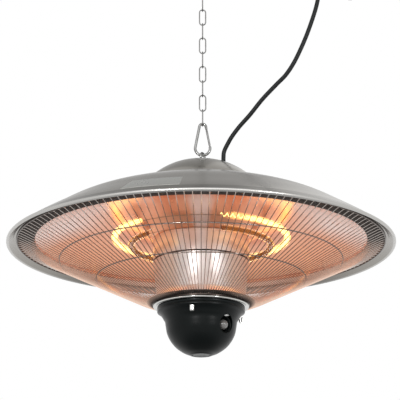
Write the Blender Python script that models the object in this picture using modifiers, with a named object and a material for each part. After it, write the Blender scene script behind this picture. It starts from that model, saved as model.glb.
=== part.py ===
"""Hanging patio heater: shade, reflector, two ring lamps, wire guard and control bowl, hung on a chain.

The origin is the middle of the ceiling plate's upper face, +Z is up, and everything hangs below it.
All sizes are in metres.
"""

import math

import bmesh
import bpy
from mathutils import Vector

# Clearances and mesh fineness
GAP = 0.0003
CUT_OVERRUN = 0.004
WELD = 0.00001
LARGE_STEPS = 36
MEDIUM_STEPS = 20
SMALL_STEPS = 12
LAMP_POINTS = 20

# Shade
BRIM_RADIUS = 0.300
BRIM_BEAD_HEIGHT = 0.0055
BRIM_FLANGE_WIDTH = 0.0050
BRIM_SLOPE_WIDTH = 0.0107
BRIM_SLOPE_RISE = 0.0070
DOME_HEIGHT = 0.100
DOME_WALL = 0.0009
CROWN_RADIUS = 0.060
CROWN_HOLE_RADIUS = 0.017
CAP_RADIUS = 0.094
CAP_HEIGHT = 0.0427
CAP_SKIRT = 0.002
CAP_WALL = 0.0010
CAP_HOLE_RADIUS = 0.0033

# Reflector and the dark ring that closes the gap to the shade
REFLECTOR_EDGE_RADIUS = BRIM_RADIUS - 0.0435
REFLECTOR_DEPTH = 0.0305
REFLECTOR_EDGE_LIFT = 0.004
REFLECTOR_FLANGE_WIDTH = 0.0115
REFLECTOR_WALL = 0.0010
REFLECTOR_CENTRE_HEIGHT = 0.0155
REFLECTOR_HOLE_RADIUS = 0.040
CLOSING_RING_WALL = 0.0008
CLOSING_RING_OVERLAP = 0.0044

# Column between the reflector and the neck
COLUMN_RADIUS = 0.0745
COLUMN_FOOT_RADIUS = 0.0690
COLUMN_WALL = 0.0010
COLUMN_SPLIT_HEIGHT = -0.0190
COLUMN_SPLIT_GAP = 0.0022
COLUMN_FOOT_HEIGHT = -0.0712
COLUMN_LIP_RADIUS = 0.0775
COLUMN_SHELF_WIDTH = 0.0145

# Tube that carries everything below the cap
TUBE_RADIUS = 0.0130
TUBE_WALL = 0.0020
TUBE_TOP_CLEARANCE = 0.0012
TUBE_TOP_WALL = 0.0040
TUBE_FLANGE_RADIUS = 0.0220
TUBE_FLANGE_THICKNESS = 0.0030
SPIDER_RADIUS = 0.052
SPIDER_THICKNESS = 0.0020
SPIDER_HUB_RADIUS = 0.0165
SPIDER_HUB_HEIGHT = 0.014

# Ring lamps
OUTER_LAMP_RADIUS = 0.1339
OUTER_LAMP_HEIGHT = 0.0178
INNER_LAMP_RADIUS = OUTER_LAMP_RADIUS - 0.0258
INNER_LAMP_HEIGHT = 0.0055
LAMP_GLASS_DIAMETER = 0.0110
LAMP_GLASS_WALL = 0.0014
OUTER_LAMP_OPEN_ANGLE = math.radians(32)
INNER_LAMP_OPEN_ANGLE = math.radians(38)
LAMP_OPEN_AT = math.radians(90)
FILAMENT_DIAMETER = 0.0032
LAMP_POST_RADIUS = 0.0085
LAMP_POST_BELOW = 0.0080

# Wire guard. The real guard has 148 wires, and every second one is made here
GUARD_WIRES = 74
GUARD_WIRE = 0.0015
GUARD_BAND_OUTER = BRIM_RADIUS - 0.0150
GUARD_BAND_WIDTH = 0.0045
GUARD_SHOULDER_WIDTH = 0.0172
GUARD_SHOULDER_DROP = 0.0072
GUARD_FOOT_RADIUS = 0.0970
GUARD_FOOT_HEIGHT = -0.0800
GUARD_HUB_OUTER = 0.0742
GUARD_HUB_INNER = 0.0700
GUARD_HUB_HEIGHT = -0.0872
SUPPORT_RING_WIRE = 0.0028
SUPPORT_RING_NAMES = ("support_ring_outer", "support_ring_inner")

# Neck
NECK_RING_OUTER = 0.0825
NECK_RING_INNER = 0.0660
NECK_RING_THICKNESS = 0.0012
COLLAR_RADIUS = 0.0735
COLLAR_THICKNESS = 0.0033

# Control bowl
BOWL_LIP_RADIUS = 0.0672
BOWL_LIP_HEIGHT = 0.0085
BOWL_NECK_RADIUS = 0.0600
BOWL_NECK_DROP = 0.0055
BOWL_SIDE_RADIUS = 0.0552
BOWL_DEPTH = 0.0734
BOWL_WALL = 0.0020
CLIP_ANGLES = (math.radians(-102), math.radians(18), math.radians(138))
CLIP_WIDTH = 0.0058
CLIP_STRIP = 0.0008
CLIP_DROP = 0.0100
CLIP_LEG_SPREAD = 0.0037
CLIP_INSET = 0.0012
SENSOR_ANGLE = math.radians(-43.5)
SENSOR_DROP = 0.0324
SENSOR_HOLE_RADIUS = 0.0138
SENSOR_TUBE_CLEARANCE = 0.0004
SENSOR_TUBE_WALL = 0.0012
SENSOR_TUBE_LENGTH = 0.0160
SENSOR_TUBE_INSET = 0.0057
SENSOR_LENS_RADIUS = 0.0080
SENSOR_LENS_NECK_RADIUS = 0.0045
SENSOR_LENS_NECK_LENGTH = 0.0030
BOARD_THICKNESS = 0.0016
CONTROL_BOARD_DROP = 0.0535
CONTROL_BOARD_CLEARANCE = 0.0008
BUTTON_RADIUS = 0.0136
BUTTON_CLEARANCE = 0.0004
BUTTON_FLANGE_RADIUS = 0.0165
BUTTON_FLANGE_THICKNESS = 0.0016
BUTTON_FLANGE_LIFT = 0.0034
BUTTON_HEIGHT = 0.0080
BUTTON_SPRING_RADIUS = 0.0060
BUTTON_SPRING_WIRE = 0.0010
BUTTON_SPRING_CURLS = 4
BUTTON_SPRING_POINTS = 8

# Cap fittings
CAP_SCREW_RADIUS = 0.0028
CAP_SCREW_HEIGHT = 0.0070
CAP_SCREW_LIFT = 0.0005
CAP_STUD_RADIUS = 0.0016
CAP_STUD_LENGTH = 0.0020
CAP_SCREW_PLACES = ((-0.0036, 0.0060), (-0.0110, 0.0020))
EYE_NUT_RADIUS = 0.0065
EYE_NUT_HEIGHT = 0.0050
GLAND_PLACE = (0.0362, 0.0450)
GLAND_BARREL_RADIUS = 0.0057
GLAND_SHOULDER_RADIUS = 0.0068
GLAND_TIP_RADIUS = 0.0043
GLAND_FOOT_HEIGHT = 0.0160
GLAND_SHOULDER_HEIGHT = 0.0410
GLAND_TIP_HEIGHT = 0.0580
RELAY_BOX_SIZE = (0.040, 0.050, 0.018)
RELAY_BOX_PLACE = (0.045, 0.0)

# Hanging gear
PLATE_RADIUS = 0.032
PLATE_THICKNESS = 0.003
PLATE_SCREW_SPREAD = 0.020
PLATE_SCREW_RADIUS = 0.0022
PLATE_SCREW_HEAD_RADIUS = 0.0042
PLATE_SCREW_HEAD_HEIGHT = 0.0026
CEILING_EYE_WIRE = 0.004
CEILING_EYE_RADIUS = 0.008
CEILING_EYE_SHANK = 0.022
HOOK_HEIGHT = 0.058
HOOK_WIRE = 0.0044
HOOK_WIDE_RADIUS = 0.0118
HOOK_SLIM_RADIUS = 0.0052
HOOK_ARC_POINTS = 8
GATE_WIRE = 0.0034
GATE_PIN_RADIUS = 0.0009
GATE_PIN_LENGTH = 0.0056
LINK_COUNT = 11
LINK_LENGTH = 0.0293
LINK_WIDTH = 0.0123
LINK_WIRE = 0.0020
LINK_ARC_POINTS = 5
EYE_X = 0.0025
EYE_WIRE = 0.0036
EYE_RADIUS = 0.0065
EYE_POINTS = 16
EYE_TURN = math.radians(62)
EYE_COLLAR_RADIUS = 0.0050
EYE_COLLAR_HEIGHT = 0.0016
EYE_COLLAR_BITE = 0.0006
EYE_SHANK_RADIUS = 0.0030
EYE_SHANK_LENGTH = 0.0130

# Mains lead, plug and what holds the coil
LEAD_DIAMETER = 0.0070
LEAD_STEPS = 1
COIL_TURNS_PER_LAYER = 2.625
COIL_POINTS_PER_TURN = 24
COIL_PITCH = 0.0075
COIL_OUTER_RADIUS = 0.0492
COIL_X = 0.2450
COIL_DROP = 0.0870
PLUG_RADIUS = 0.0170
PLUG_LENGTH = 0.0360
PLUG_NECK_RADIUS = 0.0052
PLUG_PIN_RADIUS = 0.0024
PLUG_PIN_LENGTH = 0.0150
PLUG_PIN_SPREAD = 0.0095
TIE_WALL = 0.0012
TIE_WIDTH = 0.0060
TIE_CLEARANCE = 0.0005
CORD_HOOK_WIRE = 0.0040
CORD_HOOK_RADIUS = 0.0130
CORD_HOOK_ARC_POINTS = 9
CORD_HOOK_TIP = 0.0060
CORD_HOOK_PLATE_RADIUS = 0.0140
CORD_HOOK_SEAT_RADIUS = 0.0254

# What doesn't hang on the chain
STAYS_ON_CEILING = ("ceiling_", "cord_", "plug")

# Heights under the ceiling, from the top down, as each piece hangs in the one above
SEAT = HOOK_WIRE / 2 + GAP
CEILING_EYE_Z = -PLATE_THICKNESS - GAP - CEILING_EYE_SHANK - CEILING_EYE_RADIUS
UPPER_HOOK_TOP_Z = CEILING_EYE_Z - CEILING_EYE_RADIUS + CEILING_EYE_WIRE / 2 + SEAT
HOOK_SPAN = HOOK_HEIGHT - HOOK_WIRE
UPPER_HOOK_FOOT_Z = UPPER_HOOK_TOP_Z - HOOK_SPAN
LINK_SPAN = LINK_LENGTH - LINK_WIRE
LINK_PITCH = LINK_SPAN - LINK_WIRE - GAP
TOP_LINK_Z = UPPER_HOOK_FOOT_Z + LINK_WIRE / 2 + SEAT
BOTTOM_LINK_FOOT_Z = TOP_LINK_Z - LINK_PITCH * (LINK_COUNT - 1) - LINK_SPAN
LOWER_HOOK_TOP_Z = BOTTOM_LINK_FOOT_Z + LINK_WIRE / 2 + SEAT
LOWER_HOOK_FOOT_Z = LOWER_HOOK_TOP_Z - HOOK_SPAN
EYE_TOP_Z = LOWER_HOOK_FOOT_Z + EYE_WIRE / 2 + SEAT
EYE_Z = EYE_TOP_Z - EYE_RADIUS
EYE_COLLAR_TOP_Z = EYE_Z - EYE_RADIUS - EYE_WIRE / 2 + EYE_COLLAR_BITE
CAP_TOP_Z = EYE_COLLAR_TOP_Z - EYE_COLLAR_HEIGHT - GAP
CROWN_Z = CAP_TOP_Z - CAP_HEIGHT
RIM_Z = CROWN_Z - DOME_HEIGHT
COIL_Z = -COIL_DROP

# Profiles, as shares of the sizes that they follow
DOME_SHARES = ((0.0, 1.0), (0.22, 0.933), (0.44, 0.749), (0.64, 0.551), (0.80, 0.319), (0.915, 0.142))
CAP_SHARES = ((0.13, 0.995), (0.32, 0.930), (0.53, 0.790), (0.72, 0.560), (0.89, 0.270), (1.0, 0.0))
REFLECTOR_SHARES = ((0.045, 0.37), (0.16, 0.79), (0.38, 1.0), (0.62, 0.86), (0.85, 0.46))
COLUMN_LIP_SHARES = ((0.18, 0.40), (1.0, 1.0))
BOWL_SHARES = ((0.978, 0.400), (0.940, 0.545), (0.850, 0.690), (0.700, 0.828), (0.500, 0.935), (0.340, 0.985))
SUPPORT_RING_SHARES = (0.7663, 0.5646)
GATE_SHARES = (0.16, 0.96)
GATE_END_SHARE = 0.55
SCREW_SHARES = ((1.0, 1.0), (0.86, 0.35), (0.50, 0.0))
HEAD_DOME_SHARES = (0.62, 0.88)
HEAD_SIDE_SHARE = 0.55
BOWL_SIDE_START_SHARE = 0.30
PLUG_SHARES = ((0.36, 0.12), (0.60, 0.24), (1.0, 0.36), (1.0, 0.88), (0.92, 1.0))

# The lead from the gland to the coil, points chosen by hand: x, y and height over the rim
LEAD_ROUTE = (
    (0.0362, 0.0450, 0.1583), (0.0362, 0.0448, 0.1670), (0.0372, 0.0440, 0.1765), (0.0418, 0.0420, 0.1867),
    (0.0501, 0.0390, 0.2010), (0.0626, 0.0350, 0.2171), (0.0792, 0.0310, 0.2354), (0.1000, 0.0250, 0.2607),
    (0.1228, 0.0200, 0.2843), (0.1374, 0.0170, 0.2990), (0.1500, 0.0140, 0.3176), (0.1608, 0.0110, 0.3388),
    (0.1710, 0.0085, 0.3623), (0.1798, 0.0065, 0.3860), (0.1876, 0.0050, 0.4100), (0.1925, 0.0042, 0.4310),
    (0.1952, 0.0038, 0.4520), (0.1958, 0.00375, 0.4680), (0.1958, 0.00375, 0.4770),
)
# The last stretch from the coil down to the plug, from the coil's centre: x, y and height
TAIL_ROUTE = (
    (0.0080, -0.0040, 0.0489), (0.0165, -0.0070, 0.0462), (0.0250, -0.0130, 0.0400),
    (0.0305, -0.0195, 0.0305), (0.0325, -0.0245, 0.0200), (0.0330, -0.0262, 0.0130),
    (0.0330, -0.0262, 0.0060),
)


def clear_scene():
    for found in list(bpy.data.objects):
        bpy.data.objects.remove(found, do_unlink=True)


def new_collection(name):
    collection = bpy.data.collections.new(name)
    bpy.context.scene.collection.children.link(collection)
    return collection


def material(name, colour, roughness, metallic):
    made = bpy.data.materials.new(name)
    made.use_nodes = True
    shader = made.node_tree.nodes["Principled BSDF"]
    shader.inputs["Base Color"].default_value = (*colour, 1)
    shader.inputs["Roughness"].default_value = roughness
    shader.inputs["Metallic"].default_value = metallic
    return made


clear_scene()
PARTS = new_collection("hanging_patio_heater")
CUTTERS = new_collection("cutters")
CUTTERS.hide_render = True

STEEL = material("brushed_steel", (0.42, 0.41, 0.38), 0.32, 1.0)
CHROME = material("bright_steel", (0.72, 0.72, 0.70), 0.12, 1.0)
ZINC = material("zinc", (0.55, 0.55, 0.54), 0.30, 1.0)
REFLECTOR = material("reflector", (0.80, 0.62, 0.50), 0.15, 1.0)
GLASS = material("lamp_glass", (0.95, 0.80, 0.55), 0.05, 0.0)
GLOWING = material("filament", (1.00, 0.62, 0.22), 0.40, 0.0)
CERAMIC = material("ceramic", (0.80, 0.76, 0.68), 0.60, 0.0)
BLACK = material("black_plastic", (0.010, 0.013, 0.013), 0.38, 0.0)
BLACK_STEEL = material("black_steel", (0.015, 0.013, 0.012), 0.50, 0.6)
GREY = material("grey_plastic", (0.16, 0.17, 0.17), 0.45, 0.0)
RUBBER = material("cord_rubber", (0.018, 0.022, 0.022), 0.55, 0.0)
BOARD = material("circuit_board", (0.03, 0.16, 0.06), 0.50, 0.0)
LENS = material("lens", (0.30, 0.27, 0.25), 0.06, 0.0)


def place(made, finish, collection=None):
    (collection or PARTS).objects.link(made)
    if finish:
        made.data.materials.append(finish)
    return made


def smooth(made, sharp_over=math.radians(35)):
    made.data.shade_smooth()
    made.data.set_sharp_from_angle(angle=sharp_over)


def at_rim(height):
    """A height over the brim's plane, as a height under the ceiling."""
    return RIM_Z + height


def turned(name, profile, finish, steps=MEDIUM_STEPS, wall=0.0, at=(0, 0, 0), inwards=True):
    """A profile of (radius, height) points turned about Z: an open line with a wall, or a closed loop."""
    mesh = bpy.data.meshes.new(name)
    edges = [(i, i + 1) for i in range(len(profile) - 1)]
    if not wall:
        edges.append((len(profile) - 1, 0))
    mesh.from_pydata([(radius, 0, height) for radius, height in profile], edges, [])
    made = place(bpy.data.objects.new(name, mesh), finish)
    made.location = at
    screw = made.modifiers.new("Turn", "SCREW")
    screw.steps = steps
    screw.render_steps = steps
    screw.use_merge_vertices = True
    screw.merge_threshold = WELD
    screw.use_smooth_shade = True
    if wall:
        solidify = made.modifiers.new("Wall", "SOLIDIFY")
        solidify.thickness = wall
        solidify.offset = -1 if inwards else 1
    return made


def ring(name, inner, outer, low, high, finish, steps=MEDIUM_STEPS, at=(0, 0, 0)):
    """A flat washer or a tube between two radii and two heights."""
    profile = ((outer, high), (outer, low), (inner, low), (inner, high))
    return turned(name, profile, finish, steps, at=at)


def disc(name, radius, low, high, finish, steps=MEDIUM_STEPS, at=(0, 0, 0)):
    mesh = bpy.data.meshes.new(name)
    form = bmesh.new()
    bmesh.ops.create_cone(form, cap_ends=True, segments=steps, radius1=radius, radius2=radius,
                          depth=high - low)
    form.to_mesh(mesh)
    form.free()
    made = place(bpy.data.objects.new(name, mesh), finish)
    made.location = Vector(at) + Vector((0, 0, (low + high) / 2))
    smooth(made)
    return made


def box(name, size, centre, finish):
    mesh = bpy.data.meshes.new(name)
    form = bmesh.new()
    bmesh.ops.create_cube(form, size=1)
    bmesh.ops.scale(form, vec=size, verts=form.verts)
    form.to_mesh(mesh)
    form.free()
    made = place(bpy.data.objects.new(name, mesh), finish)
    made.location = centre
    return made


def tube(name, points, diameter, finish, closed=False, fineness=2, radii=None):
    """A round bar along points, with filled ends unless it is closed."""
    line = bpy.data.curves.new(name, "CURVE")
    line.dimensions = "3D"
    spline = line.splines.new("POLY")
    spline.points.add(len(points) - 1)
    for index, (point, place_at) in enumerate(zip(spline.points, points)):
        point.co = (*place_at, 1)
        point.radius = radii[index] if radii else 1
    spline.use_cyclic_u = closed
    spline.use_smooth = True
    line.bevel_depth = diameter / 2
    line.bevel_resolution = fineness
    line.use_fill_caps = not closed
    return place(bpy.data.objects.new(name, line), finish)


def as_mesh(made):
    """The same object as a mesh with its end caps welded, so that it can be cut or joined."""
    bpy.context.view_layer.update()
    seen = made.evaluated_get(bpy.context.evaluated_depsgraph_get())
    mesh = bpy.data.meshes.new_from_object(seen)
    form = bmesh.new()
    form.from_mesh(mesh)
    bmesh.ops.remove_doubles(form, verts=form.verts, dist=WELD)
    bmesh.ops.recalc_face_normals(form, faces=form.faces)
    form.to_mesh(mesh)
    form.free()
    name = made.name
    matrix = made.matrix_world.copy()
    homes = list(made.users_collection)
    bpy.data.objects.remove(made, do_unlink=True)
    plain = bpy.data.objects.new(name, mesh)
    plain.matrix_world = matrix
    for home in homes:
        home.objects.link(plain)
    return plain


def boolean(made, helper, operation):
    """Cuts or joins with a helper object, which then only guides."""
    for home in list(helper.users_collection):
        home.objects.unlink(helper)
    CUTTERS.objects.link(helper)
    helper.hide_render = True
    helper.display_type = "WIRE"
    change = made.modifiers.new(operation.title(), "BOOLEAN")
    change.object = helper
    change.operation = operation
    change.solver = "EXACT"


def arc(radius, start, end, count, centre=(0, 0)):
    """Points on an arc, both ends included, as (x, z) pairs."""
    turn = (end - start) / (count - 1)
    return [(centre[0] + radius * math.cos(start + turn * i), centre[1] + radius * math.sin(start + turn * i))
            for i in range(count)]


def smoothed(points, steps):
    """A Catmull-Rom curve through points, with so many steps between each pair."""
    points = [Vector(point) for point in points]
    ends = [points[0] * 2 - points[1]] + points + [points[-1] * 2 - points[-2]]
    out = []
    for i in range(len(points) - 1):
        before, start, end, after = ends[i:i + 4]
        for step in range(steps):
            t = step / steps
            pull = 2 * start + (end - before) * t + (2 * before - 5 * start + 4 * end - after) * t ** 2
            out.append((pull + (3 * start - before - 3 * end + after) * t ** 3) / 2)
    return out + [points[-1]]


def height_on(profile, radius):
    """The height of a line of (radius, height) points at a radius."""
    line = sorted(profile)
    for (r0, z0), (r1, z1) in zip(line, line[1:]):
        if r0 <= radius <= r1:
            return z0 + (z1 - z0) * (radius - r0) / (r1 - r0)
    return line[0][1] if radius < line[0][0] else line[-1][1]


def dome_line():
    """The shade's outer face from the crown to the bead, as (radius, height over the rim)."""
    reach = BRIM_RADIUS - BRIM_BEAD_HEIGHT / 2 - CROWN_RADIUS
    rise = DOME_HEIGHT - BRIM_BEAD_HEIGHT
    slope = [(CROWN_RADIUS + out * reach, BRIM_BEAD_HEIGHT + up * rise) for out, up in DOME_SHARES]
    return [(CROWN_HOLE_RADIUS, DOME_HEIGHT)] + slope


def brim_flange_outer():
    """The radius at which the sloping underside of the brim turns flat."""
    return BRIM_RADIUS - BRIM_BEAD_HEIGHT / 2 - BRIM_SLOPE_WIDTH


def closing_ring_low():
    return BRIM_SLOPE_RISE + DOME_WALL + GAP


def reflector_edge_height():
    return closing_ring_low() + CLOSING_RING_WALL + GAP


def reflector_line():
    """The reflector's lower face from its centre hole to its flange, as (radius, height over the rim)."""
    reach = REFLECTOR_EDGE_RADIUS - COLUMN_RADIUS
    edge = reflector_edge_height()
    bowl = [(COLUMN_RADIUS + out * reach, edge + up * REFLECTOR_DEPTH) for out, up in REFLECTOR_SHARES]
    centre = [(REFLECTOR_HOLE_RADIUS, REFLECTOR_CENTRE_HEIGHT), (COLUMN_RADIUS, REFLECTOR_CENTRE_HEIGHT)]
    rim = [(REFLECTOR_EDGE_RADIUS, edge + REFLECTOR_EDGE_LIFT), (REFLECTOR_EDGE_RADIUS + GAP, edge)]
    return centre + bowl + rim + [(REFLECTOR_EDGE_RADIUS + REFLECTOR_FLANGE_WIDTH, edge)]


def guard_line():
    """The upper face of the guard's wires, from the band to the hub, as (radius, height over the rim)."""
    top = BRIM_SLOPE_RISE - GAP
    inner = GUARD_BAND_OUTER - GUARD_BAND_WIDTH
    return [(GUARD_BAND_OUTER, top), (inner, top), (inner - GUARD_SHOULDER_WIDTH, top - GUARD_SHOULDER_DROP),
            (GUARD_FOOT_RADIUS, GUARD_FOOT_HEIGHT), (GUARD_HUB_OUTER, GUARD_HUB_HEIGHT),
            (GUARD_HUB_INNER, GUARD_HUB_HEIGHT)]


def collar_top():
    return GUARD_HUB_HEIGHT - GUARD_WIRE - GAP


def bowl_top():
    return collar_top() - COLLAR_THICKNESS - GAP


def bowl_line():
    """The control bowl's outer face, from its lip to the button hole, as (radius, height over the rim)."""
    top = bowl_top()
    neck = top - BOWL_LIP_HEIGHT - BOWL_NECK_DROP
    start = (BOWL_SIDE_RADIUS, top - BOWL_DEPTH * BOWL_SIDE_START_SHARE)
    side = [(BOWL_SIDE_RADIUS * out, top - BOWL_DEPTH * down) for out, down in BOWL_SHARES]
    foot = [(BUTTON_FLANGE_RADIUS, top - BOWL_DEPTH), (BUTTON_RADIUS + BUTTON_CLEARANCE, top - BOWL_DEPTH)]
    return [(BOWL_LIP_RADIUS, top), (BOWL_LIP_RADIUS, top - BOWL_LIP_HEIGHT), (BOWL_NECK_RADIUS, neck),
            start] + side + foot


def make_shade():
    bead = arc(BRIM_BEAD_HEIGHT / 2, math.pi / 2, -math.pi / 2, 4,
               (BRIM_RADIUS - BRIM_BEAD_HEIGHT / 2, BRIM_BEAD_HEIGHT / 2))
    flat = brim_flange_outer()
    profile = dome_line() + bead + [(flat, BRIM_SLOPE_RISE), (flat - BRIM_FLANGE_WIDTH, BRIM_SLOPE_RISE)]
    turned("shade_dome", profile, STEEL, LARGE_STEPS, DOME_WALL, (0, 0, RIM_Z))


def cap_line():
    """The cap's outer face from its centre hole to its skirt, as (radius, height over the rim)."""
    foot = height_on(dome_line(), CAP_RADIUS - CAP_WALL) + GAP * 2
    low = foot + CAP_SKIRT
    top = DOME_HEIGHT + CAP_HEIGHT
    slope = [(CAP_RADIUS * out, low + (top - low) * up) for out, up in CAP_SHARES]
    return [(CAP_HOLE_RADIUS, top)] + slope + [(CAP_RADIUS, foot)]


def make_top_cap():
    cap = turned("top_cap", cap_line(), STEEL, MEDIUM_STEPS, CAP_WALL, (0, 0, RIM_Z))
    top = DOME_HEIGHT + CAP_HEIGHT
    holes = [(place_at, CAP_STUD_RADIUS + GAP) for place_at in CAP_SCREW_PLACES]
    holes.append((GLAND_PLACE, GLAND_BARREL_RADIUS + GAP))
    holes.append(((EYE_X, 0), EYE_SHANK_RADIUS + GAP))
    for number, ((x, y), radius) in enumerate(holes):
        cutter = disc(f"cap_hole_{number}", radius, DOME_HEIGHT + CUT_OVERRUN, top + CUT_OVERRUN, None,
                      SMALL_STEPS, (x, y, RIM_Z))
        boolean(cap, cutter, "DIFFERENCE")


def make_cap_fittings():
    for letter, (x, y) in zip("ab", CAP_SCREW_PLACES):
        seat = height_on(cap_line(), math.hypot(x, y) - CAP_SCREW_RADIUS) + CAP_SCREW_LIFT
        side = seat + CAP_SCREW_HEIGHT * HEAD_SIDE_SHARE
        shoulder = (CAP_SCREW_RADIUS * HEAD_DOME_SHARES[0], seat + CAP_SCREW_HEIGHT * HEAD_DOME_SHARES[1])
        profile = [(0, seat + CAP_SCREW_HEIGHT), shoulder, (CAP_SCREW_RADIUS, side), (CAP_SCREW_RADIUS, seat),
                   (CAP_STUD_RADIUS, seat), (CAP_STUD_RADIUS, seat - CAP_STUD_LENGTH),
                   (0, seat - CAP_STUD_LENGTH)]
        turned(f"cap_screw_{letter}", profile, ZINC, SMALL_STEPS, at=(x, y, RIM_Z))
    profile = [(0, GLAND_TIP_HEIGHT), (GLAND_TIP_RADIUS, GLAND_TIP_HEIGHT),
               (GLAND_SHOULDER_RADIUS, GLAND_SHOULDER_HEIGHT), (GLAND_BARREL_RADIUS, GLAND_SHOULDER_HEIGHT),
               (GLAND_BARREL_RADIUS, GLAND_FOOT_HEIGHT), (0, GLAND_FOOT_HEIGHT)]
    turned("cable_gland", profile, BLACK, SMALL_STEPS, at=(*GLAND_PLACE, CROWN_Z))
    box("relay_box", RELAY_BOX_SIZE, (*RELAY_BOX_PLACE, CROWN_Z + GAP + RELAY_BOX_SIZE[2] / 2), ZINC)


def make_tube_and_spider():
    top = DOME_HEIGHT + CAP_HEIGHT - CAP_WALL - TUBE_TOP_CLEARANCE
    flange = collar_top() - COLLAR_THICKNESS - GAP
    bottom = flange - TUBE_FLANGE_THICKNESS
    bore = TUBE_RADIUS - TUBE_WALL
    under = top - TUBE_TOP_WALL
    profile = [(TUBE_RADIUS, top), (TUBE_RADIUS, flange), (TUBE_FLANGE_RADIUS, flange),
               (TUBE_FLANGE_RADIUS, bottom), (bore, bottom), (bore, under), (CAP_HOLE_RADIUS, under),
               (CAP_HOLE_RADIUS, top)]
    turned("centre_tube", profile, ZINC, SMALL_STEPS, at=(EYE_X, 0, RIM_Z))
    ring("eye_nut", EYE_SHANK_RADIUS + GAP, EYE_NUT_RADIUS, under - GAP - EYE_NUT_HEIGHT, under - GAP, ZINC,
         SMALL_STEPS, (EYE_X, 0, RIM_Z))
    seat = DOME_HEIGHT - DOME_WALL - GAP
    hole = TUBE_RADIUS + GAP
    profile = [(SPIDER_RADIUS, seat), (SPIDER_RADIUS, seat - SPIDER_THICKNESS),
               (SPIDER_HUB_RADIUS, seat - SPIDER_THICKNESS), (SPIDER_HUB_RADIUS, seat - SPIDER_HUB_HEIGHT),
               (hole, seat - SPIDER_HUB_HEIGHT), (hole, seat)]
    turned("spider_plate", profile, ZINC, MEDIUM_STEPS, at=(EYE_X, 0, RIM_Z))


def make_reflector():
    turned("reflector_dish", reflector_line(), REFLECTOR, LARGE_STEPS, REFLECTOR_WALL, (0, 0, RIM_Z),
           inwards=False)
    low = closing_ring_low()
    outer = brim_flange_outer() - BRIM_FLANGE_WIDTH + CLOSING_RING_OVERLAP
    ring("closing_ring", REFLECTOR_EDGE_RADIUS, outer, low, low + CLOSING_RING_WALL, BLACK_STEEL, LARGE_STEPS,
         (0, 0, RIM_Z))


def make_column():
    shelf = REFLECTOR_CENTRE_HEIGHT - GAP
    upper = [(COLUMN_RADIUS - COLUMN_SHELF_WIDTH, shelf), (COLUMN_RADIUS, shelf),
             (COLUMN_RADIUS, COLUMN_SPLIT_HEIGHT)]
    turned("column_upper", upper, REFLECTOR, MEDIUM_STEPS, COLUMN_WALL, (0, 0, RIM_Z))
    lip_low = height_on(guard_line(), COLUMN_LIP_RADIUS) + NECK_RING_THICKNESS + COLUMN_WALL + GAP
    flare = [(COLUMN_FOOT_RADIUS + (COLUMN_LIP_RADIUS - COLUMN_FOOT_RADIUS) * out,
              COLUMN_FOOT_HEIGHT + (lip_low - COLUMN_FOOT_HEIGHT) * down) for out, down in COLUMN_LIP_SHARES]
    lower = [(COLUMN_RADIUS, COLUMN_SPLIT_HEIGHT - COLUMN_SPLIT_GAP),
             (COLUMN_FOOT_RADIUS, COLUMN_FOOT_HEIGHT)]
    turned("column_lower", lower + flare, REFLECTOR, MEDIUM_STEPS, COLUMN_WALL, (0, 0, RIM_Z))


def ring_arc(radius, start, end, count, height):
    return [(radius * math.cos(turn), radius * math.sin(turn), height)
            for turn in [start + (end - start) * i / (count - 1) for i in range(count)]]


def make_lamp(name, radius, height, open_angle):
    """A glass ring with a gap, its filament, and the two posts that hold its ends under the reflector."""
    start = LAMP_OPEN_AT + open_angle / 2
    end = LAMP_OPEN_AT - open_angle / 2 + math.tau
    z = at_rim(height)
    line = ring_arc(radius, start, end, LAMP_POINTS, z)
    glass = as_mesh(tube(f"{name}_glass", line, LAMP_GLASS_DIAMETER, GLASS, fineness=1))
    over = CUT_OVERRUN / radius
    bore = tube(f"{name}_bore", ring_arc(radius, start - over, end + over, LAMP_POINTS, z),
                LAMP_GLASS_DIAMETER - LAMP_GLASS_WALL * 2, None, fineness=1)
    boolean(glass, as_mesh(bore), "DIFFERENCE")
    smooth(glass)
    tube(f"{name}_filament", line, FILAMENT_DIAMETER, GLOWING, fineness=0)
    post_turn = (LAMP_POST_RADIUS + GAP) / radius
    roof = reflector_line()
    top = min(height_on(roof, radius - LAMP_POST_RADIUS), height_on(roof, radius + LAMP_POST_RADIUS)) - GAP
    for letter, angle in (("a", start - post_turn), ("b", end + post_turn)):
        disc(f"{name}_holder_{letter}", LAMP_POST_RADIUS, height - LAMP_POST_BELOW, top, CERAMIC, SMALL_STEPS,
             (radius * math.cos(angle), radius * math.sin(angle), RIM_Z))


def solid_sheet(name, points, faces, thickness, finish, offset=-1.0):
    """An open sheet of faces given a thickness."""
    mesh = bpy.data.meshes.new(name)
    mesh.from_pydata(points, [], faces)
    made = place(bpy.data.objects.new(name, mesh), finish)
    solidify = made.modifiers.new("Thickness", "SOLIDIFY")
    solidify.thickness = thickness
    solidify.offset = offset
    return made


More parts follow.
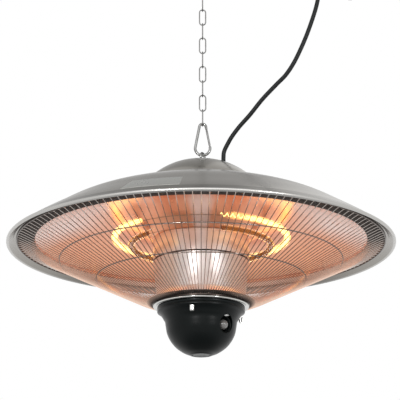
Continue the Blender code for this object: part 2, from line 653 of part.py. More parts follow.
def make_guard():
    """Radial wires of even width between an outer band and a hub band, in one welded piece."""
    line = guard_line()
    rows = len(line)
    points = []
    for wire in range(GUARD_WIRES):
        angle = math.tau * wire / GUARD_WIRES
        for radius, height in line:
            half = math.asin(GUARD_WIRE / 2 / radius)
            for side in (-half, half):
                points.append((radius * math.cos(angle + side), radius * math.sin(angle + side), height))
    faces = []
    for wire in range(GUARD_WIRES):
        first = wire * rows * 2
        following = (wire + 1) % GUARD_WIRES * rows * 2
        for row in range(rows - 1):
            out = first + row * 2
            faces.append((out, out + 1, out + 3, out + 2))
            if row in (0, rows - 2):
                beside = following + row * 2
                faces.append((out + 1, beside, beside + 2, out + 3))
    guard = solid_sheet("wire_guard", points, faces, GUARD_WIRE, CHROME)
    guard.location.z = RIM_Z
    for name, share in zip(SUPPORT_RING_NAMES, SUPPORT_RING_SHARES):
        radius = GUARD_BAND_OUTER * share
        half = SUPPORT_RING_WIRE / 2
        z = at_rim(max(height_on(line, radius - half), height_on(line, radius + half)) + half)
        circle = ring_arc(radius, 0, math.tau * (1 - 1 / LARGE_STEPS), LARGE_STEPS, z)
        tube(name, circle, SUPPORT_RING_WIRE, CHROME, closed=True, fineness=0)


def make_neck():
    line = guard_line()
    low_out = height_on(line, NECK_RING_OUTER) + GAP
    low_in = height_on(line, GUARD_HUB_OUTER) + GAP
    up = NECK_RING_THICKNESS
    profile = [(NECK_RING_OUTER, low_out + up), (NECK_RING_OUTER, low_out), (GUARD_HUB_OUTER, low_in),
               (NECK_RING_INNER, low_in), (NECK_RING_INNER, low_in + up), (GUARD_HUB_OUTER, low_in + up)]
    turned("neck_ring", profile, BLACK_STEEL, MEDIUM_STEPS, at=(0, 0, RIM_Z))
    top = collar_top()
    low = top - COLLAR_THICKNESS
    collar = disc("neck_collar", COLLAR_RADIUS, low, top, CHROME, MEDIUM_STEPS, (0, 0, RIM_Z))
    hole = disc("collar_hole", TUBE_RADIUS + GAP, low - CUT_OVERRUN, top + CUT_OVERRUN, None, SMALL_STEPS,
                (EYE_X, 0, RIM_Z))
    boolean(collar, hole, "DIFFERENCE")


def along_sensor(distance):
    """A point on the sensor's axis, so far from the bowl's axis."""
    height = at_rim(bowl_top() - SENSOR_DROP)
    return (distance * math.cos(SENSOR_ANGLE), distance * math.sin(SENSOR_ANGLE), height)


def lay_along_sensor(made, distance):
    made.location = along_sensor(distance)
    made.rotation_euler = (0, math.pi / 2, SENSOR_ANGLE)


def make_bowl():
    bowl = turned("control_bowl", bowl_line(), BLACK, MEDIUM_STEPS, BOWL_WALL, (0, 0, RIM_Z))
    cutter = disc("sensor_hole", SENSOR_HOLE_RADIUS, 0, BOWL_SIDE_RADIUS + CUT_OVERRUN, None, SMALL_STEPS)
    cutter.rotation_euler = (0, math.pi / 2, SENSOR_ANGLE)
    cutter.location = along_sensor((BOWL_SIDE_RADIUS + CUT_OVERRUN) / 2 + SENSOR_HOLE_RADIUS)
    boolean(bowl, cutter, "DIFFERENCE")
    front = BOWL_SIDE_RADIUS - SENSOR_TUBE_INSET
    back = front - SENSOR_TUBE_LENGTH
    outer = SENSOR_HOLE_RADIUS - SENSOR_TUBE_CLEARANCE
    inner = outer - SENSOR_TUBE_WALL
    cup = [(0, back), (outer, back), (outer, front), (inner, front), (inner, back + SENSOR_TUBE_WALL),
           (0, back + SENSOR_TUBE_WALL)]
    sleeve = turned("sensor_tube", cup[::-1], BLACK, SMALL_STEPS)
    lay_along_sensor(sleeve, 0)
    back += SENSOR_TUBE_WALL + GAP
    neck = back + SENSOR_LENS_NECK_LENGTH
    middle = neck + math.sqrt(SENSOR_LENS_RADIUS ** 2 - SENSOR_LENS_NECK_RADIUS ** 2)
    start = math.asin((neck - middle) / SENSOR_LENS_RADIUS)
    ball = arc(SENSOR_LENS_RADIUS, math.pi / 2, start, SMALL_STEPS // 2, (0, middle))
    ball[0] = (0, middle + SENSOR_LENS_RADIUS)
    lens = turned("sensor_lens", ball + [(SENSOR_LENS_NECK_RADIUS, back), (0, back)], LENS, SMALL_STEPS)
    lay_along_sensor(lens, 0)


def make_clips():
    """Strips bent to a U, whose legs reach up under the bowl's lip."""
    top = bowl_top() - BOWL_LIP_HEIGHT
    outer = BOWL_LIP_RADIUS - CLIP_INSET
    inner = outer - CLIP_LEG_SPREAD
    line = bowl_line()
    outer_top = height_on(line[1:3], outer - CLIP_STRIP / 2) - GAP - CLIP_STRIP / 2
    inner_top = height_on(line[1:3], inner - CLIP_STRIP / 2) - GAP - CLIP_STRIP / 2
    bend = CLIP_LEG_SPREAD / 2
    turn = arc(bend, 0, -math.pi, 5, (outer - bend, top - CLIP_DROP + bend))
    path = [(outer, outer_top)] + turn + [(inner, inner_top)]
    for letter, angle in zip("abc", CLIP_ANGLES):
        points = []
        for radius, height in path:
            for side in (-CLIP_WIDTH / 2, CLIP_WIDTH / 2):
                points.append((radius, side, height))
        faces = [(i * 2, i * 2 + 1, i * 2 + 3, i * 2 + 2) for i in range(len(path) - 1)]
        clip = solid_sheet(f"spring_clip_{letter}", points, faces, CLIP_STRIP, CHROME, 0.0)
        clip.location.z = RIM_Z
        clip.rotation_euler.z = angle


def make_button():
    low = bowl_top() - BOWL_DEPTH
    flange = low + BUTTON_FLANGE_LIFT
    flange_top = flange + BUTTON_FLANGE_THICKNESS
    profile = [(0, low + BUTTON_HEIGHT), (BUTTON_RADIUS, low + BUTTON_HEIGHT), (BUTTON_RADIUS, flange_top),
               (BUTTON_FLANGE_RADIUS, flange_top), (BUTTON_FLANGE_RADIUS, flange), (BUTTON_RADIUS, flange),
               (BUTTON_RADIUS, low), (0, low)]
    turned("push_button", profile, GREY, SMALL_STEPS * 2, at=(0, 0, RIM_Z))
    board = bowl_top() - CONTROL_BOARD_DROP
    edge = height_on([(z, r) for r, z in bowl_line()], board - BOARD_THICKNESS) - BOWL_WALL
    disc("control_board", edge - CONTROL_BOARD_CLEARANCE, board - BOARD_THICKNESS, board, BOARD, MEDIUM_STEPS,
         (0, 0, RIM_Z))
    start = low + BUTTON_HEIGHT + GAP + BUTTON_SPRING_WIRE / 2
    end = board - BOARD_THICKNESS - GAP - BUTTON_SPRING_WIRE / 2
    count = BUTTON_SPRING_CURLS * BUTTON_SPRING_POINTS + 1
    points = []
    for i in range(count):
        turn = math.tau * i / BUTTON_SPRING_POINTS
        z = at_rim(start + (end - start) * i / (count - 1))
        points.append((BUTTON_SPRING_RADIUS * math.cos(turn), BUTTON_SPRING_RADIUS * math.sin(turn), z))
    tube("button_spring", points, BUTTON_SPRING_WIRE, CHROME, fineness=1)


def make_ceiling_plate():
    plate = disc("ceiling_plate", PLATE_RADIUS, -PLATE_THICKNESS, 0, ZINC, MEDIUM_STEPS, (EYE_X, 0, 0))
    under = -PLATE_THICKNESS - GAP
    low = under - PLATE_SCREW_HEAD_HEIGHT
    for letter, side in (("a", -1), ("b", 1)):
        at = (EYE_X, PLATE_SCREW_SPREAD * side, 0)
        hole = disc(f"plate_hole_{letter}", PLATE_SCREW_RADIUS + GAP, -PLATE_THICKNESS - CUT_OVERRUN,
                    CUT_OVERRUN, None, SMALL_STEPS, at)
        boolean(plate, hole, "DIFFERENCE")
        head = [(PLATE_SCREW_HEAD_RADIUS * out, low + PLATE_SCREW_HEAD_HEIGHT * up)
                for out, up in SCREW_SHARES]
        profile = [(0, -GAP), (PLATE_SCREW_RADIUS, -GAP), (PLATE_SCREW_RADIUS, under)] + head + [(0, low)]
        turned(f"ceiling_screw_{letter}", profile, ZINC, SMALL_STEPS, at=at)


def ring_in_plane(radius, count, centre, turn):
    """Points of a ring that stands upright, its plane turned about Z from the XZ plane."""
    points = []
    for i in range(count):
        out = radius * math.cos(math.tau * i / count)
        up = radius * math.sin(math.tau * i / count)
        points.append((centre[0] + out * math.cos(turn), centre[1] + out * math.sin(turn), centre[2] + up))
    return points


def make_ceiling_eye():
    points = ring_in_plane(CEILING_EYE_RADIUS, EYE_POINTS, (EYE_X, 0, CEILING_EYE_Z), math.pi / 2)
    eye = as_mesh(tube("ceiling_eye", points, CEILING_EYE_WIRE, ZINC, closed=True, fineness=1))
    low = CEILING_EYE_Z + CEILING_EYE_RADIUS
    shank = disc("ceiling_eye_shank", CEILING_EYE_WIRE / 2, low, -PLATE_THICKNESS - GAP, None,
                 SMALL_STEPS // 2, (EYE_X, 0, 0))
    boolean(eye, shank, "UNION")


def hook_points(top_z):
    """The hook's wire from the gate's foot, round the wide end, up the back and over the slim end."""
    slim_z = top_z - HOOK_SLIM_RADIUS
    wide_z = top_z - HOOK_SPAN + HOOK_WIDE_RADIUS
    lean = math.asin((HOOK_WIDE_RADIUS - HOOK_SLIM_RADIUS) / (slim_z - wide_z))
    wide = arc(HOOK_WIDE_RADIUS, lean, -math.pi - lean, HOOK_ARC_POINTS * 2, (0, wide_z))
    slim = arc(HOOK_SLIM_RADIUS, math.pi - lean, lean, HOOK_ARC_POINTS, (0, slim_z))
    top = Vector((slim[-1][0], 0, slim[-1][1]))
    foot = Vector((wide[0][0], 0, wide[0][1]))
    gate = [top.lerp(foot, share) for share in GATE_SHARES]
    wire = [(gate[1].x, 0, gate[1].z)] + [(x, 0, z) for x, z in wide + slim] + [(gate[0].x, 0, gate[0].z)]
    return wire, gate


def make_hook(name, top_z):
    wire, gate = hook_points(top_z)
    shift = Vector((EYE_X, 0, 0))
    tube(f"{name}_hook", [Vector(point) + shift for point in wire], HOOK_WIRE, CHROME, fineness=1)
    along = (gate[1] - gate[0]).normalized()
    rounding = GATE_WIRE / 2 * GATE_END_SHARE
    ends = [gate[0] + along * GAP, gate[0] + along * (GAP + rounding), gate[1] - along * (GAP + rounding),
            gate[1] - along * GAP]
    rod = as_mesh(tube(f"{name}_gate", [point + shift for point in ends], GATE_WIRE, CHROME, fineness=1,
                       radii=(GATE_END_SHARE, 1, 1, GATE_END_SHARE)))
    pin = disc(f"{name}_gate_pin", GATE_PIN_RADIUS, -GATE_PIN_LENGTH / 2, GATE_PIN_LENGTH / 2, None,
               SMALL_STEPS // 2)
    pin.rotation_euler = (math.pi / 2, 0, 0)
    pin.location = gate_hinge(top_z) + shift
    boolean(rod, pin, "UNION")


def make_chain():
    half_width = (LINK_WIDTH - LINK_WIRE) / 2
    straight = LINK_SPAN - half_width * 2
    for number in range(LINK_COUNT):
        foot = BOTTOM_LINK_FOOT_Z + LINK_PITCH * number
        low = arc(half_width, -math.pi, 0, LINK_ARC_POINTS, (0, foot + half_width))
        high = arc(half_width, 0, math.pi, LINK_ARC_POINTS, (0, foot + half_width + straight))
        edge_on = number % 2 == 0
        points = [(EYE_X, side, z) if edge_on else (EYE_X + side, 0, z) for side, z in low + high]
        tube(f"chain_link_{number + 1:02d}", points, LINK_WIRE, ZINC, closed=True, fineness=1)


def make_hanger_eye():
    points = ring_in_plane(EYE_RADIUS, EYE_POINTS, (EYE_X, 0, EYE_Z), EYE_TURN)
    eye = as_mesh(tube("hanger_eye", points, EYE_WIRE, CHROME, closed=True, fineness=1))
    foot = EYE_COLLAR_TOP_Z - EYE_COLLAR_HEIGHT
    collar = disc("hanger_eye_collar", EYE_COLLAR_RADIUS, foot, EYE_COLLAR_TOP_Z, None, SMALL_STEPS,
                  (EYE_X, 0, 0))
    shank = disc("hanger_eye_shank", EYE_SHANK_RADIUS, foot - EYE_SHANK_LENGTH, foot + EYE_COLLAR_HEIGHT / 2,
                 None, SMALL_STEPS, (EYE_X, 0, 0))
    boolean(eye, collar, "UNION")
    boolean(eye, shank, "UNION")


def coil_points():
    """The coil's turns: in along the back layer, across at the reversal, and out along the front layer."""
    count = round(COIL_TURNS_PER_LAYER * 2 * COIL_POINTS_PER_TURN)
    points = []
    for i in range(count + 1):
        turn = i / COIL_POINTS_PER_TURN
        radius = COIL_OUTER_RADIUS - COIL_PITCH * (COIL_TURNS_PER_LAYER - abs(turn - COIL_TURNS_PER_LAYER))
        climb = min(max((turn - COIL_TURNS_PER_LAYER) * 2 + 1 / 2, 0), 1)
        y = COIL_PITCH / 2 - COIL_PITCH * climb * climb * (3 - 2 * climb)
        angle = math.pi - math.tau * turn
        points.append(Vector((COIL_X + radius * math.cos(angle), y, COIL_Z + radius * math.sin(angle))))
    return points


def least_gap(points, diameter, apart):
    """The least distance between stretches of one tube that are more than so many points apart."""
    least = min((a - b).length for i, a in enumerate(points) for b in points[i + apart:])
    return least - diameter


def make_lead():
    route = [Vector((x, y, at_rim(height))) for x, y, height in LEAD_ROUTE]
    lead = smoothed(route, LEAD_STEPS)
    tube("cord_lead", lead, LEAD_DIAMETER, RUBBER)
    centre = Vector((COIL_X, 0, COIL_Z))
    turns = coil_points()
    start = lead[-1] + Vector((0, 0, GAP))
    tail = smoothed([turns[-1]] + [centre + Vector(point) for point in TAIL_ROUTE], 1)
    coil = [start] + turns + tail[1:]
    tube("cord_coil", coil, LEAD_DIAMETER, RUBBER, fineness=1)
    least = least_gap(turns, LEAD_DIAMETER, COIL_POINTS_PER_TURN // 2)
    print("coil's least gap to itself, mm:", round(least * 1000, 3))
    lengths = [sum((b - a).length for a, b in zip(line, line[1:])) for line in (lead, coil)]
    print("lead and coil, mm:", [round(length * 1000, 1) for length in lengths])
    make_plug(coil[-1])


def make_plug(cord_end):
    top = -GAP
    profile = [(0, top), (PLUG_NECK_RADIUS, top)]
    profile += [(PLUG_RADIUS * out, top - PLUG_LENGTH * down) for out, down in PLUG_SHARES]
    plug = turned("plug", profile + [(0, top - PLUG_LENGTH)], BLACK, SMALL_STEPS, at=cord_end)
    for number, side in enumerate((-1, 1)):
        pin = disc(f"plug_pin_{number}", PLUG_PIN_RADIUS, top - PLUG_LENGTH - PLUG_PIN_LENGTH,
                   top - PLUG_LENGTH + CUT_OVERRUN, None, SMALL_STEPS // 2,
                   cord_end + Vector((PLUG_PIN_SPREAD * side, 0, 0)))
        boolean(plug, pin, "UNION")


def make_coil_holders():
    room = LEAD_DIAMETER / 2 + TIE_CLEARANCE
    inner = COIL_OUTER_RADIUS - COIL_PITCH * COIL_TURNS_PER_LAYER - room
    outer = COIL_OUTER_RADIUS + room
    half = COIL_PITCH / 2 + room
    loop = [(-half, -inner), (half, -inner), (half, -outer), (-half, -outer)]
    points = []
    for y, z in loop:
        for side in (-TIE_WIDTH / 2, TIE_WIDTH / 2):
            points.append((COIL_X + side, y, COIL_Z + z))
    count = len(loop)
    faces = [(i * 2, i * 2 + 1, (i + 1) % count * 2 + 1, (i + 1) % count * 2) for i in range(count)]
    solid_sheet("cord_tie", points, faces, TIE_WALL, BLACK, 1.0)
    seat_z = COIL_Z + CORD_HOOK_SEAT_RADIUS
    bend = arc(CORD_HOOK_RADIUS, 0, -math.pi, CORD_HOOK_ARC_POINTS, (0, seat_z + CORD_HOOK_RADIUS))
    top = -PLATE_THICKNESS / 2
    path = [(COIL_X, CORD_HOOK_RADIUS, top)] + [(COIL_X, y, z) for y, z in bend]
    path.append((COIL_X, -CORD_HOOK_RADIUS, seat_z + CORD_HOOK_RADIUS + CORD_HOOK_TIP))
    hook = as_mesh(tube("cord_hook", path, CORD_HOOK_WIRE, ZINC, fineness=1))
    plate = disc("cord_hook_plate", CORD_HOOK_PLATE_RADIUS, -PLATE_THICKNESS, 0, None, SMALL_STEPS,
                 (COIL_X, CORD_HOOK_RADIUS, 0))
    boolean(hook, plate, "UNION")


def shift_to_plate():
    """Everything is made about the shade's axis, and then moved so that the plate's middle is the origin."""
    for made in bpy.data.objects:
        made.location.x -= EYE_X


def pivot(name, place_at, parent, pieces):
    """An empty on a joint's axis that carries the pieces which turn or slide there."""
    made = place(bpy.data.objects.new(name, None), None)
    made.empty_display_size = PLATE_RADIUS / 2
    made.location = place_at
    bpy.context.view_layer.update()
    for piece in pieces:
        piece.parent = made
        piece.matrix_parent_inverse = made.matrix_world.inverted()
    if parent:
        made.parent = parent
        made.matrix_parent_inverse = parent.matrix_world.inverted()
    return made


def gate_hinge(top_z):
    """The middle of a gate's pin."""
    wire, gate = hook_points(top_z)
    along = (gate[1] - gate[0]).normalized()
    return gate[0] + along * (GAP + GATE_WIRE / 2)


def parent_to_pivots():
    """Empties down the line of suspension: each stands on the wire that the pieces under it hang from."""
    named = bpy.data.objects
    sway = pivot("upper_hook_pivot", (0, 0, CEILING_EYE_Z - CEILING_EYE_RADIUS), None, [named["upper_hook"]])
    pivot("upper_gate_pivot", gate_hinge(UPPER_HOOK_TOP_Z), sway, [named["upper_gate"]])
    links = [named[f"chain_link_{number + 1:02d}"] for number in range(LINK_COUNT)]
    chain = pivot("chain_pivot", (0, 0, UPPER_HOOK_FOOT_Z), sway, links)
    hook = pivot("lower_hook_pivot", (0, 0, BOTTOM_LINK_FOOT_Z), chain, [named["lower_hook"]])
    pivot("lower_gate_pivot", gate_hinge(LOWER_HOOK_TOP_Z), hook, [named["lower_gate"]])
    button = named["push_button"]
    fixed = [made for made in PARTS.objects if made.name.startswith(STAYS_ON_CEILING) or made.parent]
    heater = [made for made in PARTS.objects if made.type != "EMPTY" and made not in fixed and made != button]
    tilt = pivot("heater_pivot", (0, 0, LOWER_HOOK_FOOT_Z), hook, heater)
    pivot("button_slide", button.matrix_world.translation, tilt, [button])


def main():
    make_ceiling_plate()
    make_ceiling_eye()
    make_hook("upper", UPPER_HOOK_TOP_Z)
    make_chain()
    make_hook("lower", LOWER_HOOK_TOP_Z)
    make_hanger_eye()
    make_top_cap()
    make_cap_fittings()
    make_tube_and_spider()
    make_shade()
    make_reflector()
    make_column()
    make_lamp("outer_lamp", OUTER_LAMP_RADIUS, OUTER_LAMP_HEIGHT, OUTER_LAMP_OPEN_ANGLE)
    make_lamp("inner_lamp", INNER_LAMP_RADIUS, INNER_LAMP_HEIGHT, INNER_LAMP_OPEN_ANGLE)
    make_guard()
    make_neck()
    make_bowl()
    make_clips()
    make_button()
    make_lead()
    make_coil_holders()
    shift_to_plate()
    parent_to_pivots()
    print("rim plane at", round(RIM_Z, 5))


main()
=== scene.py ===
"""Looks of the hanging patio heater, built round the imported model. All sizes are in metres.

Pieces of the heater are made about the middle of the shade's rim plane: x, y and height over that plane.
"""

from math import asin, atan2, cos, pi, radians, sin, tau

import bmesh
import bpy
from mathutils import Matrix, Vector


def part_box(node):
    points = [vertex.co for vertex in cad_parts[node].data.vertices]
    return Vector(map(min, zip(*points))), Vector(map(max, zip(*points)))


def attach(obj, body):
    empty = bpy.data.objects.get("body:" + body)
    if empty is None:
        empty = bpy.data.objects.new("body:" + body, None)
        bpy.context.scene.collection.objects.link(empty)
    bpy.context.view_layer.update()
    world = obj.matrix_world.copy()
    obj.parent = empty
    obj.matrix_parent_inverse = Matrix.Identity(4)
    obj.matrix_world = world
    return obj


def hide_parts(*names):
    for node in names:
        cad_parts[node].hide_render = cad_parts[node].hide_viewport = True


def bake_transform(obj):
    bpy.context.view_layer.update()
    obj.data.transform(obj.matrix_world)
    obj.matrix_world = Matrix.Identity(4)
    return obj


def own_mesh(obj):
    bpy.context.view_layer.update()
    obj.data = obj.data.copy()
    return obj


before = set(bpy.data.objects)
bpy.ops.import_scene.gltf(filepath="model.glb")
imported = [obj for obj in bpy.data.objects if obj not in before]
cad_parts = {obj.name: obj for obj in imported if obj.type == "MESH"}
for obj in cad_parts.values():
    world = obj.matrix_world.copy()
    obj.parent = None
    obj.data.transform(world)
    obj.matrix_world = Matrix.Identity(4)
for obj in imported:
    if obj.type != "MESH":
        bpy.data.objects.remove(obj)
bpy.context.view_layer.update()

shade_low, shade_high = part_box("shade_dome")
HEATER = Vector(((shade_low.x + shade_high.x) / 2, 0, shade_low.z))
ORIGIN = Vector((0, 0, 0))
UP = Vector((0, 0, 1))

# Camera, fitted to the photograph's frame
CAMERA_PLACE = (-0.0017, -2.1294, -0.5897)
CAMERA_PITCH = 0.3051
CAMERA_LENS = 128.21
SENSOR_WIDTH = 36.0

# Shade and cap
DOME_LINE = ((0.060, 0.1000), (0.1122, 0.0937), (0.1644, 0.0763), (0.2118, 0.0576), (0.2498, 0.0356),
             (0.2771, 0.0189), (0.2955, 0.0062))
CROWN_HOLE_RADIUS = 0.017
CROWN_HEIGHT = 0.100
BRIM_RADIUS = 0.300
BEAD_RADIUS = 0.00275
BRIM_FLAT_OUTER = 0.2880
BRIM_FLAT_INNER = 0.2850
BRIM_RISE = 0.007
SHADE_WALL = 0.0009
CAP_LINE = ((0.0033, 0.1427), (0.0122, 0.1425), (0.0301, 0.1396), (0.0498, 0.1334), (0.0677, 0.1233),
            (0.0837, 0.1105), (0.0935, 0.0992))
CAP_FOOT = 0.0966
CAP_WALL = 0.0010
GLAND_PLACE = (0.0362, 0.0450)
PLATE_RADII = (0.2465, 0.2830)
PLATE_TURNS = (-113.2, -96.0)
FOIL_GAP = 0.00005
FOIL_TOP = 0.00030

# Reflector, closing ring (inner and outer radius, low and high) and column
REFLECTOR_LINE = ((0.0745, 0.0158), (0.0827, 0.0206), (0.1036, 0.0334), (0.1437, 0.0398), (0.1873, 0.0355),
                  (0.2292, 0.0233), (0.2560, 0.0125))
REFLECTOR_LIP = ((0.2566, 0.0094), (0.2670, 0.0093))
REFLECTOR_HOLE_RADIUS = 0.040
REFLECTOR_WALL = 0.0010
CLOSING_RING = (0.2565, 0.2858, 0.0082, 0.0090)
COLUMN_RADIUS = 0.0745
COLUMN_WALL = 0.0010
SHELF_HEIGHT = 0.0152

# Lamps: radius and height of each glass ring, its ends, and the coil's stretches with their pitch, in degrees
LAMPS = {"outer_lamp": (0.1339, 0.0178), "inner_lamp": (0.1081, 0.0055)}
LAMP_ENDS = {"outer_lamp": (106.0, 434.0), "inner_lamp": (109.0, 431.0)}
COIL_SPANS = {"outer_lamp": ((108.0, 228.6, 0.0030), (282.0, 300.0, 0.0088), (300.0, 432.0, 0.0030)),
              "inner_lamp": ((111.0, 223.0, 0.0026), (286.0, 429.0, 0.0026))}
COLD_TURN = -104.0
GLASS_RADIUS = 0.0055
GLASS_BORE = 0.0041
LAMP_LEAD_WIRE = 0.00045
GLASS_LIT_ALPHA = 0.40
GLASS_COLD_ALPHA = 0.03

# Wire guard: its rim is a radius, a height and a wire, its hub band two radii and two heights
GUARD_WIRES = 148
GUARD_WIRE_RADIUS = 0.00060
GUARD_LINE = ((0.2835, 0.00590), (0.2800, 0.00590), (0.2633, -0.00125), (0.0970, -0.08075), (0.0742, -0.08790),
              (0.0712, -0.08795))
SUPPORT_RADII = {"support_ring_outer": 0.2184, "support_ring_inner": 0.1609}
SUPPORT_WIRE_RADIUS = 0.0010
GUARD_RIM = (0.28385, 0.00565, 0.00105)
HUB_BAND = (0.0700, 0.0742, -0.08865, -0.08725)

# Hanging gear
HOOK_WIRE_RADIUS = 0.0022
HOOK_WIDE_RADIUS = 0.0118
HOOK_SLIM_RADIUS = 0.0052
GATE_SHARES = (0.16, 0.96)
GATE_WIRE_RADIUS = 0.0017
EYE_RADIUS = 0.0065
EYE_WIRE_RADIUS = 0.0018
EYE_TURN = radians(62)
CEILING_EYE_RADIUS = 0.008
CEILING_EYE_WIRE_RADIUS = 0.002
CROSS_LENGTH = 0.0045
CROSS_WIDTH = 0.0007

# Mains lead
LEAD_DIAMETER = 0.0070
LEAD_MARKS = (0.0, 0.075, 0.190, 0.285)
LEAD_ROUTE = (
    (0.0362, 0.0450, 0.1583), (0.0362, 0.0448, 0.1670), (0.0372, 0.0440, 0.1765), (0.0418, 0.0420, 0.1867),
    (0.0501, 0.0390, 0.2010), (0.0626, 0.0350, 0.2171), (0.0792, 0.0310, 0.2354), (0.1000, 0.0250, 0.2607),
    (0.1228, 0.0200, 0.2843), (0.1374, 0.0170, 0.2990), (0.1500, 0.0140, 0.3176), (0.1608, 0.0110, 0.3388),
    (0.1710, 0.0085, 0.3623), (0.1798, 0.0065, 0.3860), (0.1876, 0.0050, 0.4100), (0.1925, 0.0042, 0.4310),
    (0.1952, 0.0038, 0.4520), (0.1958, 0.00375, 0.4680), (0.1958, 0.00375, 0.4770),
)
TAIL_ROUTE = (
    (0.0080, -0.0040, 0.0489), (0.0165, -0.0070, 0.0462), (0.0250, -0.0130, 0.0400), (0.0305, -0.0195, 0.0305),
    (0.0325, -0.0245, 0.0200), (0.0330, -0.0262, 0.0130), (0.0330, -0.0262, 0.0060),
)
COIL_PLACE = (0.2425, 0.0, -0.0870)
COIL_TURNS_PER_LAYER = 2.625
COIL_POINTS_PER_TURN = 48
COIL_PITCH = 0.0075
COIL_OUTER_RADIUS = 0.0492
JOIN_GAP = 0.0003
TIE_WIDTH = 0.006
TIE_THICKNESS = 0.0010

# Control bowl: radii, and drops below its top
BOWL_LIP = ((0.0672, 0.0004), (0.0672, 0.0030), (0.0668, 0.0036), (0.0672, 0.0044), (0.0670, 0.0072))
BOWL_SIDE = ((0.0655, 0.0082), (0.0625, 0.0104), (0.0600, 0.0136), (0.0575, 0.0178), (0.0552, 0.0220),
             (0.0540, 0.0294), (0.0519, 0.0400), (0.0469, 0.0506), (0.0386, 0.0608), (0.0276, 0.0686),
             (0.0188, 0.0723), (0.0165, 0.0733))
BOWL_WALL = 0.0020
GROOVE_RADIUS = 0.0320
GROOVE_DEPTH = 0.0004
SENSOR_TURN = radians(-43.5)
SENSOR_DROP = 0.0324
SENSOR_HOLE = 0.0138
SENSOR_SPAN = (0.0335, 0.0495)
LENS_RADIUS = 0.0080
CLIP_INNER = 0.0623
CLIP_OUTER = 0.0660
CLIP_STRIP = 0.0008
SPRING_WIRE = 0.0004
SPRING_TURNS = 5

# Finishes
GRAIN_ROUGHNESS = 0.55
GRAIN_SPAN = (0.35, 0.65)
CLOUD_SCALE = 9.0
# The front direction, the turns of the painted reflection lobes on the reflector, and the share of painted shade
# under the brim
FRONT_TURN = -90.0
REFLECTION_LOBE_TURNS = (-153.0, -27.0)
UNDER_SHADE = 0.45

# Meshes
SHARP_DEGREES = 38
RING_STEPS = 240
WELD_GAP = 1e-7

# Studio: each light's place, size and power
FLOOR_Z = -2.35
LIGHT_TARGET = (0, 0, -0.62)
LIGHTS = (("soft_left", (-0.95, -3.0, -0.30), (0.40, 0.50), 24),
          ("soft_right", (2.0, -2.7, -0.30), (0.40, 0.50), 20),
          ("low_front", (0.0, -3.6, -0.32), (1.5, 0.35), 3))
FRONT_LIFT = 1.2
PANEL_DEPTH = 0.47
SOFT_STRENGTH = 0.85


# Camera

def placed(name, data, place):
    """An object in the scene."""
    made = bpy.data.objects.new(name, data)
    made.location = place
    bpy.context.scene.collection.objects.link(made)
    return made


def make_camera():
    data = bpy.data.cameras.new("camera")
    data.sensor_width = SENSOR_WIDTH
    data.lens = CAMERA_LENS
    camera = placed("camera", data, HEATER + Vector(CAMERA_PLACE))
    camera.rotation_euler = (pi / 2 + CAMERA_PITCH, 0, 0)
    bpy.context.scene.camera = camera


make_camera()


# Materials

class Nodes:
    """Short calls for making a material's nodes."""

    def __init__(self, name):
        self.material = bpy.data.materials.new(name)
        self.material.use_nodes = True
        self.tree = self.material.node_tree
        self.shader = self.tree.nodes["Principled BSDF"]

    def new(self, kind, **settings):
        node = self.tree.nodes.new("ShaderNode" + kind)
        for key, value in settings.items():
            setattr(node, key, value)
        return node

    def feed(self, sockets, values):
        """Gives each socket a number, a tuple or another node's output."""
        for socket, value in zip(sockets, values):
            if isinstance(value, (int, float, tuple)):
                socket.default_value = value
            else:
                self.tree.links.new(value, socket)

    def give(self, node, **values):
        """Feeds the sockets of a node that are named, and returns the node."""
        self.feed([node.inputs[name.replace("_", " ")] for name in values], values.values())
        return node

    def math(self, operation, *values):
        node = self.new("Math", operation=operation)
        self.feed(node.inputs, values)
        return node.outputs[0]

    def vector(self, operation, *values):
        node = self.new("VectorMath", operation=operation)
        self.feed(node.inputs, values)
        return node.outputs["Value" if operation in ("LENGTH", "DOT_PRODUCT") else "Vector"]

    def place(self):
        return self.new("TexCoord").outputs["Object"]

    def flat(self):
        """The place with its height taken out."""
        return self.vector("MULTIPLY", self.place(), (1, 1, 0))

    def reach(self):
        """The distance from the axis."""
        return self.vector("LENGTH", self.flat())

    def towards(self, degrees):
        """How nearly a point lies in a direction round the axis: 1 there, -1 on the other side."""
        turn = radians(degrees)
        unit = self.vector("NORMALIZE", self.flat())
        return self.vector("DOT_PRODUCT", unit, (cos(turn), sin(turn), 0))

    def polar(self, turn_scale, line_scale):
        """Coordinates that run fast along a turned profile and slowly round it, with no seam."""
        height = self.give(self.new("SeparateXYZ"), Vector=self.place()).outputs["Z"]
        line = self.math("MULTIPLY", self.math("ADD", self.reach(), height), line_scale)
        turn = self.vector("MULTIPLY", self.vector("NORMALIZE", self.flat()), (turn_scale, turn_scale, 0))
        return self.vector("ADD", turn, self.give(self.new("CombineXYZ"), Z=line).outputs[0])

    def noise(self, where, scale, detail):
        node = self.give(self.new("TexNoise"), Vector=where, Scale=scale, Detail=detail, Roughness=GRAIN_ROUGHNESS)
        return node.outputs["Fac"]

    def spread(self, value, start, end, low=0.0, high=1.0):
        """Maps start to end onto low to high, and holds the ends beyond."""
        node = self.new("MapRange")
        self.feed(node.inputs, (value, start, end, low, high))
        return node.outputs["Result"]

    def blend(self, share, first, second):
        node = self.give(self.new("Mix", data_type="RGBA"), Factor=share)
        self.feed([socket for socket in node.inputs if socket.type == "RGBA"],
                  [(*colour, 1) if isinstance(colour, tuple) else colour for colour in (first, second)])
        return [socket for socket in node.outputs if socket.type == "RGBA"][0]

    def tint(self, share, colour):
        """Turns the base colour towards another by a share."""
        base = self.shader.inputs["Base Color"].links[0].from_socket
        self.give(self.shader, Base_Color=self.blend(share, base, colour))

    def glow(self, share, dark, bright, strength):
        self.give(self.shader, Emission_Color=self.blend(share, dark, bright), Emission_Strength=strength)

    def bump(self, height, strength, distance):
        node = self.give(self.new("Bump"), Strength=strength, Distance=distance, Height=height)
        self.give(self.shader, Normal=node.outputs["Normal"])


def shade_of(colour, factor):
    return tuple(min(channel * factor, 1.0) for channel in colour)


